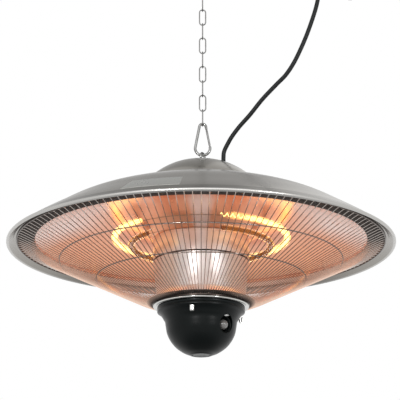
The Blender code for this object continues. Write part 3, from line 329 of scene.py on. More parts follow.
def surface(name, colour, roughness, metallic=0.0, vary=0.15, spread=0.05, scale=120.0, detail=3.0, bump=0.0,
            bump_depth=0.0002, polar=None, **sockets):
    """A material whose colour, gloss and relief all vary with one fine grain."""
    nodes = Nodes(name)
    where = nodes.polar(*polar) if polar else nodes.place()
    grain = nodes.noise(where, 1.0 if polar else scale, detail)
    cloud = nodes.noise(nodes.place(), CLOUD_SCALE if polar else scale / 12, 2.0)
    both = nodes.math("MULTIPLY_ADD", cloud, 0.5, nodes.math("MULTIPLY", grain, 0.5))
    tone = nodes.blend(nodes.spread(both, *GRAIN_SPAN), shade_of(colour, 1 - vary), shade_of(colour, 1 + vary))
    gloss = nodes.spread(both, *GRAIN_SPAN, roughness - spread, roughness + spread)
    nodes.give(nodes.shader, Base_Color=tone, Roughness=gloss, Metallic=metallic, **sockets)
    if bump:
        nodes.bump(grain, bump, bump_depth)
    return nodes


def plain(slot, *settings, **more):
    """A finish, which is a material with the slot that it fills."""
    return surface(*settings, **more).material, slot


def brushed_steel():
    """Satin sheet, with a brighter rolled hem that is partly polish and partly a painted highlight, and painted
    shade on the brim's narrow flat.
    """
    nodes = surface("satin_steel", (0.425, 0.405, 0.370), 0.22, 1.0, vary=0.035, spread=0.03, polar=(3.0, 1100.0),
                    bump=0.03, bump_depth=0.00003)
    # Painted shade on the brim's narrow flat.
    nodes.tint(nodes.spread(nodes.reach(), 0.2846, 0.2852, 0.0, UNDER_SHADE), (0.16, 0.15, 0.14))
    # Brighter rolled hem: partly polish, partly a painted highlight.
    nodes.tint(nodes.spread(nodes.reach(), 0.2950, 0.2962), (0.50, 0.49, 0.47))
    return nodes.material, "steel"


def reflector_metal():
    """Polished sheet whose warm colour is painted lamplight, with paler painted reflections in two lobes and in
    the middle.
    """
    # The warm base colour stands in for the lamps' light: painted light.
    nodes = surface("reflector_metal", (0.89, 0.42, 0.25), 0.29, 1.0, vary=0.02, spread=0.02, polar=(5.0, 60.0),
                    bump=0.02, bump_depth=0.0001)
    # Painted reflections: two pale lobes out towards the rim, and a narrow pale strip in front.
    reflection_lobes = nodes.math("MAXIMUM", *(nodes.spread(nodes.towards(turn), 0.76, 0.93) for turn in REFLECTION_LOBE_TURNS))
    reflection_lobes = nodes.math("MULTIPLY", reflection_lobes, nodes.spread(nodes.reach(), 0.140, 0.200, 0.0, 0.9))
    middle = nodes.spread(nodes.towards(FRONT_TURN), 0.985, 0.997, 0.0, 0.75)
    nodes.tint(nodes.math("MAXIMUM", reflection_lobes, middle), (0.96, 0.82, 0.77))
    return nodes.material, "reflector"


def column_metal():
    """Polished sleeve, pale in front, with a painted warm reflection of the lamps where it turns towards them."""
    nodes = surface("column_metal", (0.97, 0.90, 0.87), 0.30, 0.60, vary=0.04, spread=0.03, polar=(9.0, 60.0),
                    bump=0.04, bump_depth=0.0001)
    # Painted reflection: warmer away from the front.
    nodes.tint(nodes.spread(nodes.towards(FRONT_TURN + 2.0), 0.91, 0.77), (0.92, 0.68, 0.56))
    return nodes.material, "reflector"


def wire_metal(name, near, far, ends=()):
    """Wire with painted light and shade by side: the near colour on the near side, and the far colour, a painted
    reflection of the reflector's warmth, on the far side.

    Each of its ends has the distances where a further colour starts and is full.
    """
    nodes = surface(name, far, 0.20, 1.0, vary=0.12, scale=200.0)
    # Painted light and shade by side: the near colour fills the near side.
    near_side_share = nodes.spread(nodes.towards(FRONT_TURN), -0.35, 0.35)
    nodes.tint(nodes.math("MULTIPLY", near_side_share, nodes.spread(nodes.reach(), 0.095, 0.150, 0.45, 1.0)), near)
    for start, full, colour in ends:
        nodes.tint(nodes.spread(nodes.reach(), start, full), colour)
    return nodes.material, "bright_steel"


def dark_ring_finish():
    """Dark, with a painted warm reflection on the far side."""
    nodes = surface("closing_ring_dark", (0.026, 0.016, 0.011), 0.60, vary=0.25, scale=90.0, bump=0.1,
                    Specular_IOR_Level=0.25)
    # Painted reflection: warm on the far side.
    nodes.tint(nodes.spread(nodes.towards(-FRONT_TURN), -0.10, 0.35), (0.86, 0.50, 0.36))
    return nodes.material, "black_steel"


def glowing(name, cool, hot, strength):
    """Hot wire, brighter in some stretches than in others."""
    nodes = surface(name, cool, 0.45, 0.6, scale=150.0)
    heat = nodes.spread(nodes.noise(nodes.place(), 37.5, 2.0), 0.3, 0.7)
    nodes.glow(heat, shade_of(hot, 0.75), hot, strength)
    return nodes.material, "filament"


def lamp_glass(name, tint, glow, strength):
    """Glass that glows round its coil, and is clear in the cold stretch."""
    nodes = surface(name, tint, 0.06, vary=0.04, spread=0.03, scale=160.0, Transmission_Weight=1.0, IOR=1.12)
    heat = nodes.spread(nodes.noise(nodes.place(), 30.0, 2.0), 0.3, 0.7, 0.65, 1.0)
    lit = nodes.spread(nodes.towards(COLD_TURN), 0.90, 0.82)
    nodes.give(nodes.shader, Alpha=nodes.spread(lit, 0.0, 1.0, GLASS_COLD_ALPHA, GLASS_LIT_ALPHA))
    nodes.glow(nodes.math("MULTIPLY", heat, lit), (0, 0, 0), glow, strength)
    return nodes.material, "lamp_glass"


STEEL = brushed_steel()
REFLECTOR = reflector_metal()
COLUMN = column_metal()
CHROME = plain("bright_steel", "bright_wire", (0.20, 0.20, 0.195), 0.12, 1.0, vary=0.25, scale=260.0)
# Guard wire: painted shade on the near side and a painted warm reflection on the far side; plain grey over the
# closing ring, darker at the rim and by the hub.
GUARD_STEEL = wire_metal("guard_wire", (0.22, 0.14, 0.11), (0.88, 0.62, 0.49), (
    (0.252, 0.264, (0.58, 0.52, 0.48)), (0.2822, 0.2828, (0.10, 0.08, 0.07)),
    (0.0840, 0.0765, (0.10, 0.08, 0.07))))
# Support rings: paler on the near side and darker, warm on the far side, as painted light and shade.
RING_STEEL = wire_metal("support_ring_wire", (0.34, 0.28, 0.25), (0.20, 0.13, 0.10))
POLISHED = plain("bright_steel", "collar_steel", (0.56, 0.56, 0.54), 0.14, 1.0, vary=0.06, polar=(3.0, 900.0))
ZINC = plain("zinc", "zinc_plate", (0.17, 0.17, 0.165), 0.22, 1.0, vary=0.22, spread=0.08, scale=320.0)
DARK_RING = dark_ring_finish()
BLACK_STEEL = plain("black_steel", "neck_ring_paint", (0.014, 0.012, 0.011), 0.45, 0.3, vary=0.25, scale=150.0,
                    bump=0.1)
CERAMIC = plain("ceramic", "ceramic", (0.66, 0.61, 0.54), 0.60, vary=0.08, scale=400.0, bump=0.15)
BLACK_PLASTIC = plain("black_plastic", "bowl_plastic", (0.0010, 0.0026, 0.0026), 0.30, spread=0.03,
                      scale=1500.0, detail=2.0, bump=0.02, bump_depth=0.00002, Specular_IOR_Level=0.15)
DARK_PLASTIC = plain("black_plastic", "dark_plastic", (0.004, 0.0055, 0.0055), 0.50, scale=900.0,
                     bump=0.1, Specular_IOR_Level=0.15)
GREY_PLASTIC = plain("grey_plastic", "button_plastic", (0.085, 0.09, 0.09), 0.42, vary=0.10, scale=900.0, bump=0.1)
RUBBER = plain("cord_rubber", "lead_sheath", (0.0035, 0.0050, 0.0052), 0.38, spread=0.04, scale=300.0,
               bump=0.05, bump_depth=0.00003, Specular_IOR_Level=0.22)
BOARD = plain(None, "circuit_board", (0.020, 0.13, 0.050), 0.42, vary=0.30, scale=260.0)
PLATE = plain("steel", "blank_plate", (0.56, 0.56, 0.53), 0.30, 0.9, vary=0.05, scale=260.0, bump=0.05)
BRIGHT_COIL = glowing("bright_coil", (0.9, 0.6, 0.25), (1.0, 0.76, 0.25), 2.5)
DIM_COIL = glowing("dim_coil", (0.10, 0.03, 0.015), (0.50, 0.07, 0.012), 0.16)
DEAD_WIRE = plain("filament", "lamp_lead_wire", (0.30, 0.16, 0.09), 0.35, 0.9, scale=300.0)
OUTER_GLASS = lamp_glass("outer_lamp_glass_lit", (1.0, 0.96, 0.90), (1.0, 0.50, 0.13), 0.85)
INNER_GLASS = lamp_glass("inner_lamp_glass_lit", (1.0, 0.95, 0.88), (1.0, 0.40, 0.08), 0.24)
LENS = plain("lamp_glass", "sensor_lens", (0.13, 0.125, 0.12), 0.05, vary=0.06, scale=300.0, Coat_Weight=1.0,
             Coat_Roughness=0.03)


# Shapes

def spline(points, steps):
    """A Catmull-Rom curve through points, with so many steps between each pair."""
    points = [Vector(point) for point in points]
    ends = [points[0] * 2 - points[1]] + points + [points[-1] * 2 - points[-2]]
    out = []
    for i in range(len(points) - 1):
        before, start, end, after = ends[i:i + 4]
        for step in range(steps):
            t = step / steps
            pull = 2 * start + (end - before) * t + (2 * before - 5 * start + 4 * end - after) * t ** 2
            out.append((pull + (3 * start - before - 3 * end + after) * t ** 3) / 2)
    return out + [points[-1]]


def rounded(points, radius, steps=4, closed=False):
    """A line whose corners are rounded, each by no more than the stretches beside it allow."""
    points = [Vector(point) for point in points]
    count = len(points)
    out = []
    for i, point in enumerate(points):
        if not closed and i in (0, count - 1):
            out.append(point)
            continue
        before, after = points[i - 1], points[(i + 1) % count]
        back, on = before - point, after - point
        trim = min(radius, back.length * 0.45, on.length * 0.45)
        if trim < 1e-6:
            out.append(point)
            continue
        start, end = point + back.normalized() * trim, point + on.normalized() * trim
        for step in range(steps + 1):
            t = step / steps
            out.append(start * (1 - t) ** 2 + point * 2 * t * (1 - t) + end * t ** 2)
    return out


def heading(turn):
    return Vector((cos(turn), sin(turn), 0))


def arc(radius, start, end, count, centre=(0.0, 0.0)):
    turn = (end - start) / (count - 1)
    return [(centre[0] + radius * cos(start + turn * i), centre[1] + radius * sin(start + turn * i))
            for i in range(count)]


def walled(line, wall):
    """A closed loop from an open profile and the same profile set aside by a wall's thickness."""
    line = [Vector(point[:2]) for point in line]
    aside = []
    for i, point in enumerate(line):
        before = line[max(i - 1, 0)]
        after = line[min(i + 1, len(line) - 1)]
        along = (after - before).normalized()
        aside.append(point + Vector((along.y, -along.x)) * wall)
    return line + aside[::-1]


def skinned(rows, around=True, closed=False):
    """Faces between rows of points: around joins each row's ends, and closed the last row and the first."""
    count = len(rows[0])
    faces = []
    for row in range(len(rows) if closed else len(rows) - 1):
        here, there = row * count, (row + 1) % len(rows) * count
        for i in range(count if around else count - 1):
            j = (i + 1) % count
            faces.append((here + i, here + j, there + j, there + i))
    return [point for row in rows for point in row], faces


def slab_mesh(rows):
    """A slab from rows that each run out along one face and back along the other."""
    verts, faces = skinned(rows)
    count = len(rows[0])
    for a in (0, len(verts) - count):
        faces += [(a + i, a + i + 1, a + count - 2 - i, a + count - 1 - i) for i in range(count // 2 - 1)]
    return verts, faces


def turned_mesh(profile, steps, closed=False):
    """A profile of radius and height pairs, turned about the vertical."""
    turns = [tau * step / steps for step in range(steps)]
    rows = [[(r * cos(turn), r * sin(turn), z) for r, z in profile] for turn in turns]
    return skinned(rows, closed, True)


def rings(points, radius, sides, closed=False, radii=None):
    """Rings of points round a line, carried along it without twisting."""
    points = [Vector(point) for point in points]
    count = len(points)
    out = []
    side = None
    for i, point in enumerate(points):
        before, after = (i - 1, (i + 1) % count) if closed else (max(i - 1, 0), min(i + 1, count - 1))
        along = (points[after] - points[before]).normalized()
        if side is None:
            side = along.cross(UP)
            if side.length < 1e-3:
                side = along.cross(Vector((1, 0, 0)))
        side = (side - along * side.dot(along)).normalized()
        up = along.cross(side)
        here = radius * (radii[i] if radii else 1)
        turns = (tau * k / sides for k in range(sides))
        out.append([point + side * (here * cos(turn)) + up * (here * sin(turn)) for turn in turns])
    return out


def swept_mesh(points, radius, sides, closed=False, radii=None):
    """A round bar along points."""
    verts, faces = skinned(rings(points, radius, sides, closed, radii), True, closed)
    if not closed:
        faces += [tuple(range(sides))[::-1], tuple(range(len(verts) - sides, len(verts)))]
    return verts, faces


def joined(*meshes):
    verts, faces = [], []
    for more_verts, more_faces in meshes:
        shift = len(verts)
        verts += list(more_verts)
        faces += [tuple(index + shift for index in face) for face in more_faces]
    return verts, faces


def piece(name, mesh, finish, node=None, body="heater", place=HEATER, sharp=SHARP_DEGREES):
    """A mesh object with one finish that rides on a body and stands for a CAD node."""
    verts, faces = mesh
    material, slot = finish
    data = bpy.data.meshes.new(name)
    data.from_pydata([tuple(vert) for vert in verts], [], faces)
    form = bmesh.new()
    form.from_mesh(data)
    bmesh.ops.remove_doubles(form, verts=form.verts, dist=WELD_GAP)
    bmesh.ops.recalc_face_normals(form, faces=form.faces)
    form.to_mesh(data)
    form.free()
    data.shade_smooth()
    data.set_sharp_from_angle(angle=radians(sharp))
    data.materials.append(material)
    made = placed(name, data, place)
    if body:
        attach(made, body)
    if node:
        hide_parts(node)
    return made


def turned(name, profile, finish, node, steps=40, closed=False, body="heater", place=HEATER):
    """A piece turned from radius and height pairs: a closed wall, or a solid that starts and ends on the axis."""
    return piece(name, turned_mesh(profile, steps, closed), finish, node, body, place)


def cut(made, cutter_mesh):
    """Cuts another mesh out of a piece, for good."""
    cutter = piece("cutter", cutter_mesh, (DARK_PLASTIC[0], None), body=None, place=made.matrix_world.translation)
    change = made.modifiers.new("cut", "BOOLEAN")
    change.object = cutter
    change.operation = "DIFFERENCE"
    change.solver = "EXACT"
    bpy.context.view_layer.update()
    data = bpy.data.meshes.new_from_object(made.evaluated_get(bpy.context.evaluated_depsgraph_get()))
    made.modifiers.clear()
    made.data = data
    data.set_sharp_from_angle(angle=radians(SHARP_DEGREES))
    bpy.data.objects.remove(cutter, do_unlink=True)


def measured(node):
    """A node's middle in plan, its half width, and its lowest and highest z."""
    low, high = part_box(node)
    return Vector(((low.x + high.x) / 2, (low.y + high.y) / 2, 0)), (high.x - low.x) / 2, low.z, high.z


def raised(base, *points):
    """Profile points whose heights are given over a base."""
    return [(radius, base + height) for radius, height in points]


def heights(node):
    """A node's lowest and highest point over the rim plane."""
    return [corner.z - HEATER.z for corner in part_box(node)]


# Mains lead, its coil and its plug

def along_line(points):
    """The distance from the start to each point of a line."""
    out = [0.0]
    for a, b in zip(points, points[1:]):
        out.append(out[-1] + (b - a).length)
    return out


def make_lead():
    """The lead is four pieces, cut at marks along its route."""
    route = spline([HEATER + Vector(point) for point in LEAD_ROUTE], 8)
    reach = along_line(route)
    marks = [min(range(len(reach)), key=lambda i: abs(reach[i] - mark)) for mark in (*LEAD_MARKS, reach[-1])]
    for number in range(len(LEAD_MARKS)):
        points = route[marks[number]:marks[number + 1] + 1]
        made = piece(f"lead_{number + 1}", swept_mesh(points, LEAD_DIAMETER / 2, 20), RUBBER, body=None,
                     place=ORIGIN)
        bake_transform(made)
        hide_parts("cord_lead")
    return route[-1]


def coil_line():
    """In along the back layer, across at the reversal, and out along the front layer."""
    centre = Vector(COIL_PLACE)
    points = []
    for i in range(round(COIL_TURNS_PER_LAYER * 2 * COIL_POINTS_PER_TURN) + 1):
        turn = i / COIL_POINTS_PER_TURN
        radius = COIL_OUTER_RADIUS - COIL_PITCH * (COIL_TURNS_PER_LAYER - abs(turn - COIL_TURNS_PER_LAYER))
        climb = min(max((turn - COIL_TURNS_PER_LAYER) * 2 + 1 / 2, 0), 1)
        y = COIL_PITCH / 2 - COIL_PITCH * climb * climb * (3 - 2 * climb)
        angle = pi - tau * turn
        points.append(centre + Vector((radius * cos(angle), y, radius * sin(angle))))
    return points, centre


def make_coil(lead_end):
    """The rest of the lead, put away in turns, with the plug at its end and the tie round it."""
    turns, centre = coil_line()
    start = lead_end + UP * JOIN_GAP
    tail = spline([turns[-1]] + [centre + Vector(point) for point in TAIL_ROUTE], 6)
    points = [start, start.lerp(turns[0], 0.5)] + turns + tail[1:]
    made = piece("lead_coil", swept_mesh(points, LEAD_DIAMETER / 2, 20), RUBBER, "cord_coil", "ceiling", ORIGIN)
    plug = make_plug(points[-1])
    tie = make_tie(centre)


def make_plug(end):
    """A two-pin plug with a ribbed strain relief over its neck and a finger grip."""
    top = -JOIN_GAP
    profile = [(0.0, top), (0.0048, top), (0.0052, top - 0.0008)]
    for rib in range(4):
        low = top - 0.0016 - rib * 0.0024
        profile += [(radius + rib * 0.0004, low - drop) for radius, drop in
                    ((0.0052, 0.0), (0.0064, 0.0005), (0.0064, 0.0013), (0.0054, 0.0018))]
    profile += raised(top, (0.0100, -0.0138), (0.0150, -0.0165), (0.0168, -0.0200), (0.0155, -0.0250),
                      (0.0168, -0.0300), (0.0168, -0.0335), (0.0155, -0.0358), (0.0, -0.0358))
    made = turned("lead_plug", rounded(profile, 0.0012, 3), DARK_PLASTIC, "plug", 48, body="ceiling", place=end)
    pins = [swept_mesh([(x, 0, top - drop) for drop in (0.0350, 0.0480, 0.0500, 0.0510)], 0.0024, 16,
                       radii=(1, 1, 0.85, 0.35)) for x in (-0.0095, 0.0095)]
    metal = piece("plug_pins", joined(*pins), ZINC, body="ceiling", place=end)
    metal.parent = made
    metal.matrix_parent_inverse = made.matrix_world.inverted()
    return made


def make_tie(centre):
    """A strip with rounded corners round all the turns at the coil's foot."""
    room = LEAD_DIAMETER / 2 + 0.0008
    inner = COIL_OUTER_RADIUS - COIL_PITCH * COIL_TURNS_PER_LAYER - room
    outer = COIL_OUTER_RADIUS + room
    half = COIL_PITCH / 2 + room
    loop = rounded([(-half, -inner), (half, -inner), (half, -outer), (-half, -outer)], 0.0035, 5, True)
    middle = Vector((0, -(inner + outer) / 2))
    rows = []
    for x, grow in ((-1, 0.0), (1, 0.0), (1, TIE_THICKNESS), (-1, TIE_THICKNESS)):
        grown = [point + (point - middle).normalized() * grow for point in loop]
        rows.append([(x * TIE_WIDTH / 2, y, z) for y, z in grown])
    return piece("coil_tie", skinned(rows, True, True), DARK_PLASTIC, "cord_tie", "ceiling", centre)


make_coil(make_lead())


# Hanging gear

def make_links():
    """Each link is a bent wire with its weld on one long side."""
    for name in sorted(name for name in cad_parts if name.startswith("chain_link_")):
        low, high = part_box(name)
        size = high - low
        across = Vector((1, 0, 0)) if size.x > size.y else Vector((0, 1, 0))
        wire = min(size.x, size.y) / 2
        half = max(size.x, size.y) / 2 - wire
        straight = size.z / 2 - wire - half
        line = arc(half, -pi, 0, 17, (0, -straight)) + arc(half, 0, pi, 17, (0, straight))
        ring = swept_mesh([across * side + UP * up for side, up in line], wire, 14, True)
        weld = swept_mesh([across * half + UP * up for up in (-0.0016, -0.0010, 0, 0.0010, 0.0016)], wire, 14,
                          radii=(0.98, 1.10, 1.14, 1.10, 0.98))
        piece(f"{name}_wire", joined(ring, weld), ZINC, name, "chain", (low + high) / 2)


def make_hook(which):
    """A bent wire hook, and the wire gate with its pin that closes it."""
    _, _, low, high = measured(f"{which}_hook")
    slim_z = high - HOOK_WIRE_RADIUS - HOOK_SLIM_RADIUS
    wide_z = low + HOOK_WIRE_RADIUS + HOOK_WIDE_RADIUS
    lean = asin((HOOK_WIDE_RADIUS - HOOK_SLIM_RADIUS) / (slim_z - wide_z))
    wide = arc(HOOK_WIDE_RADIUS, lean, -pi - lean, 40, (0, wide_z))
    slim = arc(HOOK_SLIM_RADIUS, pi - lean, lean, 20, (0, slim_z))
    wire = [Vector((x, 0, z)) for x, z in wide + slim]
    top, foot = (wire[-1].lerp(wire[0], share) for share in GATE_SHARES)
    wire = [foot + (wire[0] - foot).normalized() * 0.0004, *wire, top]
    radii = [0.72] + [1.0] * (len(wire) - 2) + [0.80]
    piece(f"{which}_snap_hook", swept_mesh(wire, HOOK_WIRE_RADIUS, 20, radii=radii), CHROME, f"{which}_hook",
          f"{which}_hook", ORIGIN)
    along = (foot - top).normalized()
    tips = ((0.0004, 0.55), (0.0012, 0.95), (0.0024, 1.0))
    line = [top + along * inset for inset, _ in tips] + [foot - along * inset for inset, _ in tips[::-1]]
    bar = swept_mesh(line, GATE_WIRE_RADIUS, 16, radii=[size for _, size in tips + tips[::-1]])
    middle = top + along * (0.0003 + GATE_WIRE_RADIUS)
    pin = swept_mesh([middle + Vector((0, y, 0)) for y in (-0.0028, -0.0025, 0.0025, 0.0028)], 0.0010, 14,
                     radii=(0.6, 1, 1, 0.6))
    piece(f"{which}_snap_gate", joined(bar, pin), CHROME, f"{which}_gate", f"{which}_gate", ORIGIN)


def eye_ring(radius, wire, height, turn, sides):
    """A standing ring on the axis, turned about the vertical."""
    side = heading(turn)
    line = [side * x + UP * (z + height) for x, z in arc(radius, 0, tau * 47 / 48, 48)]
    return swept_mesh(line, wire, sides, True)


def make_eyes():
    """The eye on the cap with its collar, and the threaded eye in the ceiling plate."""
    _, _, low, high = measured("hanger_eye")
    middle = high - EYE_RADIUS - EYE_WIRE_RADIUS
    foot = middle - EYE_RADIUS - EYE_WIRE_RADIUS + 0.0006
    collar = raised(foot, (0.0, 0.0004), (0.0030, 0.0004), (0.0042, -0.0001), (0.0049, -0.0008), (0.0049, -0.0014),
                    (0.0044, -0.0016), (0.0030, -0.0016)) + raised(low, (0.0030, 0.0002), (0.0, 0.0002))
    ring = eye_ring(EYE_RADIUS, EYE_WIRE_RADIUS, middle, EYE_TURN, 18)
    piece("hanger_eye_forged", joined(ring, turned_mesh(collar, 40)), CHROME, "hanger_eye", place=ORIGIN)
    _, _, low, high = measured("ceiling_eye")
    middle = low + CEILING_EYE_RADIUS + CEILING_EYE_WIRE_RADIUS
    shank = [(0.0, high), (0.0024, high), (0.0024, high - 0.0012)]
    for thread in range(8):
        shank += raised(high - 0.0012 - thread * 0.0014, (0.0017, -0.0004), (0.0020, -0.0009), (0.0020, -0.0011),
                        (0.0017, -0.0014))
    shank += raised(middle, (0.0020, 0.0075), (0.0, 0.0075))
    ring = eye_ring(CEILING_EYE_RADIUS, CEILING_EYE_WIRE_RADIUS, middle, pi / 2, 16)
    piece("ceiling_eye_bolt", joined(ring, turned_mesh(shank, 32)), ZINC, "ceiling_eye", "ceiling", ORIGIN)


def disc(radius, thickness):
    return rounded([(0.0, 0.0), (radius, 0.0), (radius, -thickness), (0.0, -thickness)], 0.0009, 4)


def make_ceiling_plate():
    """A pressed plate with a rounded edge, and two cross-head screws."""
    _, radius, low, high = measured("ceiling_plate")
    plate = turned("ceiling_plate_pressed", disc(radius, high - low), ZINC, "ceiling_plate", 96, body="ceiling",
                   place=ORIGIN)
    for letter in "ab":
        node = f"ceiling_screw_{letter}"
        centre, head, low, _ = measured(node)
        cut(plate, swept_mesh([centre + UP * z for z in (-0.01, 0.01)], 0.0026, 24))
        top = low + 0.0026
        profile = [(0.0, -0.0004), (0.0021, -0.0004), (0.0021, top), (head, top), (head * 0.97, top - 0.0009),
                   (head * 0.80, low + 0.0008), (head * 0.45, low + 0.0001), (0.0, low)]
        screw = turned(f"{node}_head", profile, ZINC, node, body="ceiling", place=centre)
        for x, y in ((CROSS_LENGTH, CROSS_WIDTH), (CROSS_WIDTH, CROSS_LENGTH)):
            corners = [(x * sx / 2, y * sy / 2, z) for z in (low - 0.001, low + 0.0011)
                       for sx, sy in ((-1, -1), (1, -1), (1, 1), (-1, 1))]
            faces = [(0, 1, 2, 3), (7, 6, 5, 4), (0, 4, 5, 1), (1, 5, 6, 2), (2, 6, 7, 3), (3, 7, 4, 0)]
            cut(screw, (corners, faces))


def make_cord_hook():
    """The ceiling hook that carries the coil, on its round base."""
    centre, _, low, _ = measured("cord_hook")
    bend, wire = 0.013, 0.002
    seat = low + wire
    line = [(bend, -0.0015), *arc(bend, 0, -pi, 33, (0, seat + bend)), (-bend, seat + 0.0175),
            (-bend, seat + 0.0190)]
    rod = swept_mesh([(centre.x, y, z) for y, z in line], wire, 18, radii=[1.0] * (len(line) - 2) + [0.95, 0.45])
    verts, faces = turned_mesh(disc(0.0139, 0.0029), 64)
    base = [(x + centre.x, y + bend, z) for x, y, z in verts], faces
    piece("coil_hook", joined(rod, base), ZINC, "cord_hook", "ceiling", ORIGIN)


make_links()
make_hook("upper")
make_hook("lower")
make_eyes()
make_ceiling_plate()
make_cord_hook()


# Shade

def make_shade():
    """The dome, its rolled bead and the turned-in flat under it."""
    bead = arc(BEAD_RADIUS, radians(112), -pi / 2, 16, (BRIM_RADIUS - BEAD_RADIUS, BEAD_RADIUS))
    under = rounded([(BRIM_RADIUS - BEAD_RADIUS, 0.0), (BRIM_FLAT_OUTER, BRIM_RISE), (BRIM_FLAT_INNER, BRIM_RISE)],
                    0.0025, 5)
    crown = [(CROWN_HOLE_RADIUS, CROWN_HEIGHT), (0.050, CROWN_HEIGHT)]
    line = crown + spline(DOME_LINE, 8) + bead + under[1:]
    turned("shade_spun", walled(line, SHADE_WALL), STEEL, "shade_dome", 256, True)


def make_cap():
    """The raised cap, with holes for the lead's gland and the hanger eye."""
    line = spline(CAP_LINE, 8) + [(0.0940, 0.0984), (0.0941, CAP_FOOT + 0.0004)]
    cap = turned("cap_spun", walled(line, CAP_WALL), STEEL, "top_cap", 192, True)
    for x, y, radius in ((*GLAND_PLACE, 0.0060), (-HEATER.x, 0.0, 0.0033)):
        cut(cap, swept_mesh([(x, y, 0.110), (x, y, 0.160)], radius, 32))


def make_cap_fittings():
    """Two dome-headed screws, and the ribbed gland round the lead."""
    for letter in "ab":
        node = f"cap_screw_{letter}"
        centre, radius, _, top = measured(node)
        profile = raised(top, (0.0, 0.0), (radius * 0.35, -0.0001), (radius * 0.72, -0.0007),
                         (radius * 0.94, -0.0019), (radius, -0.0034), (radius, -0.0064), (radius * 0.92, -0.0070),
                         (0.0016, -0.0070), (0.0016, -0.0088), (0.0, -0.0088))
        turned(f"{node}_head", profile, CHROME, node, 36, place=centre)
    centre, _, foot, tip = measured("cable_gland")
    profile = [(0.0036, tip), (0.0042, tip - 0.0003)]
    for ring in range(5):
        radius = 0.0043 + 0.0022 * (ring + 0.5) / 5
        profile += raised(tip - 0.0012 - ring * 0.0029, (radius, 0.0), (radius + 0.0001, -0.0014),
                          (radius - 0.0006, -0.0018), (radius - 0.0006, -0.0026))
    profile += raised(tip, (0.0067, -0.0158), (0.0067, -0.0170), (0.0056, -0.0170))
    profile += raised(foot, (0.0056, 0.0), (0.0036, 0.0))
    turned("gland_moulded", profile, DARK_PLASTIC, "cable_gland", closed=True, place=centre)


def make_blank_plate():
    """The bare rating plate: a thin foil rectangle that follows the dome."""
    line = spline(DOME_LINE, 8)
    columns, rows = 24, 10
    slab = []
    for row in range(rows + 1):
        radius = PLATE_RADII[0] + (PLATE_RADII[1] - PLATE_RADII[0]) * row / rows
        a, b = next(pair for pair in zip(line, line[1:]) if pair[0].x <= radius <= pair[1].x)
        height = a.y + (b.y - a.y) * (radius - a.x) / (b.x - a.x)
        loop = []
        for lift, order in ((FOIL_GAP, range(columns + 1)), (FOIL_TOP, range(columns, -1, -1))):
            for column in order:
                turn = radians(PLATE_TURNS[0] + (PLATE_TURNS[1] - PLATE_TURNS[0]) * column / columns)
                over = height + lift * (1 if 0 < row < rows and 0 < column < columns else 0.6)
                loop.append((radius * cos(turn), radius * sin(turn), over))
        slab.append(loop)
    piece("blank_plate", slab_mesh(slab), PLATE, sharp=60)


make_shade()
make_cap()
make_cap_fittings()
make_blank_plate()


# Reflector, column and lamps

def make_reflector():
    """The reflector, and the flat ring that closes the shade outside it."""
    bowl = spline(REFLECTOR_LINE, 10)
    rim = rounded([bowl[-1], *REFLECTOR_LIP], 0.0012, 4)
    line = [(REFLECTOR_HOLE_RADIUS, 0.0155), (0.0715, 0.0155)] + bowl + rim[1:]
    turned("reflector_spun", walled(line, -REFLECTOR_WALL), REFLECTOR, "reflector_dish", 256, True)
    inner, outer, low, high = CLOSING_RING
    profile = rounded([(inner, low), (outer, low), (outer, high), (inner, high)], 0.0003, 2, True)
    turned("closing_ring_flat", profile, DARK_RING, "closing_ring", 192, True)


def make_column():
    """The upper sleeve with its shelf, and the lower one with its flared lip."""
    upper = rounded([(0.0600, SHELF_HEIGHT), (COLUMN_RADIUS, SHELF_HEIGHT), (COLUMN_RADIUS, -0.0190)], 0.0010, 4)
    lip = heights("column_lower")[0] + COLUMN_WALL * 0.6
    flare = [(0.0690, -0.0712), (0.0700, -0.0745), (0.0725, -0.0790), (0.0752, -0.0826), (0.0774, lip)]
    lower = [(0.0737, -0.0212)] + spline(flare, 6)
    for part, line in (("upper", upper), ("lower", lower)):
        turned(f"column_{part}_sheet", walled(line, COLUMN_WALL), COLUMN, f"column_{part}", 160, True)


def ring_line(radius, height, start, end, count):
    """A stretch of a level ring, its ends in degrees."""
    turns = (radians(start + (end - start) * i / (count - 1)) for i in range(count))
    return [Vector((radius * cos(turn), radius * sin(turn), height)) for turn in turns]


def circle_mesh(radius, height, wire, sides):
    """A whole ring of wire."""
    return swept_mesh(ring_line(radius, height, 0, 360 - 360 / RING_STEPS, RING_STEPS), wire, sides, True)


def coil_mesh(radius, height, start, end, pitch, loop, wire):
    """A wound filament along a stretch of ring."""
    turns = radians(end - start) * radius / pitch
    count = round(turns * 10)
    points = []
    for i in range(count + 1):
        turn = radians(start + (end - start) * i / count)
        phase = tau * turns * i / count
        across = radius + loop * cos(phase)
        points.append((across * cos(turn), across * sin(turn), height + loop * sin(phase)))
    return swept_mesh(points, wire, 5)


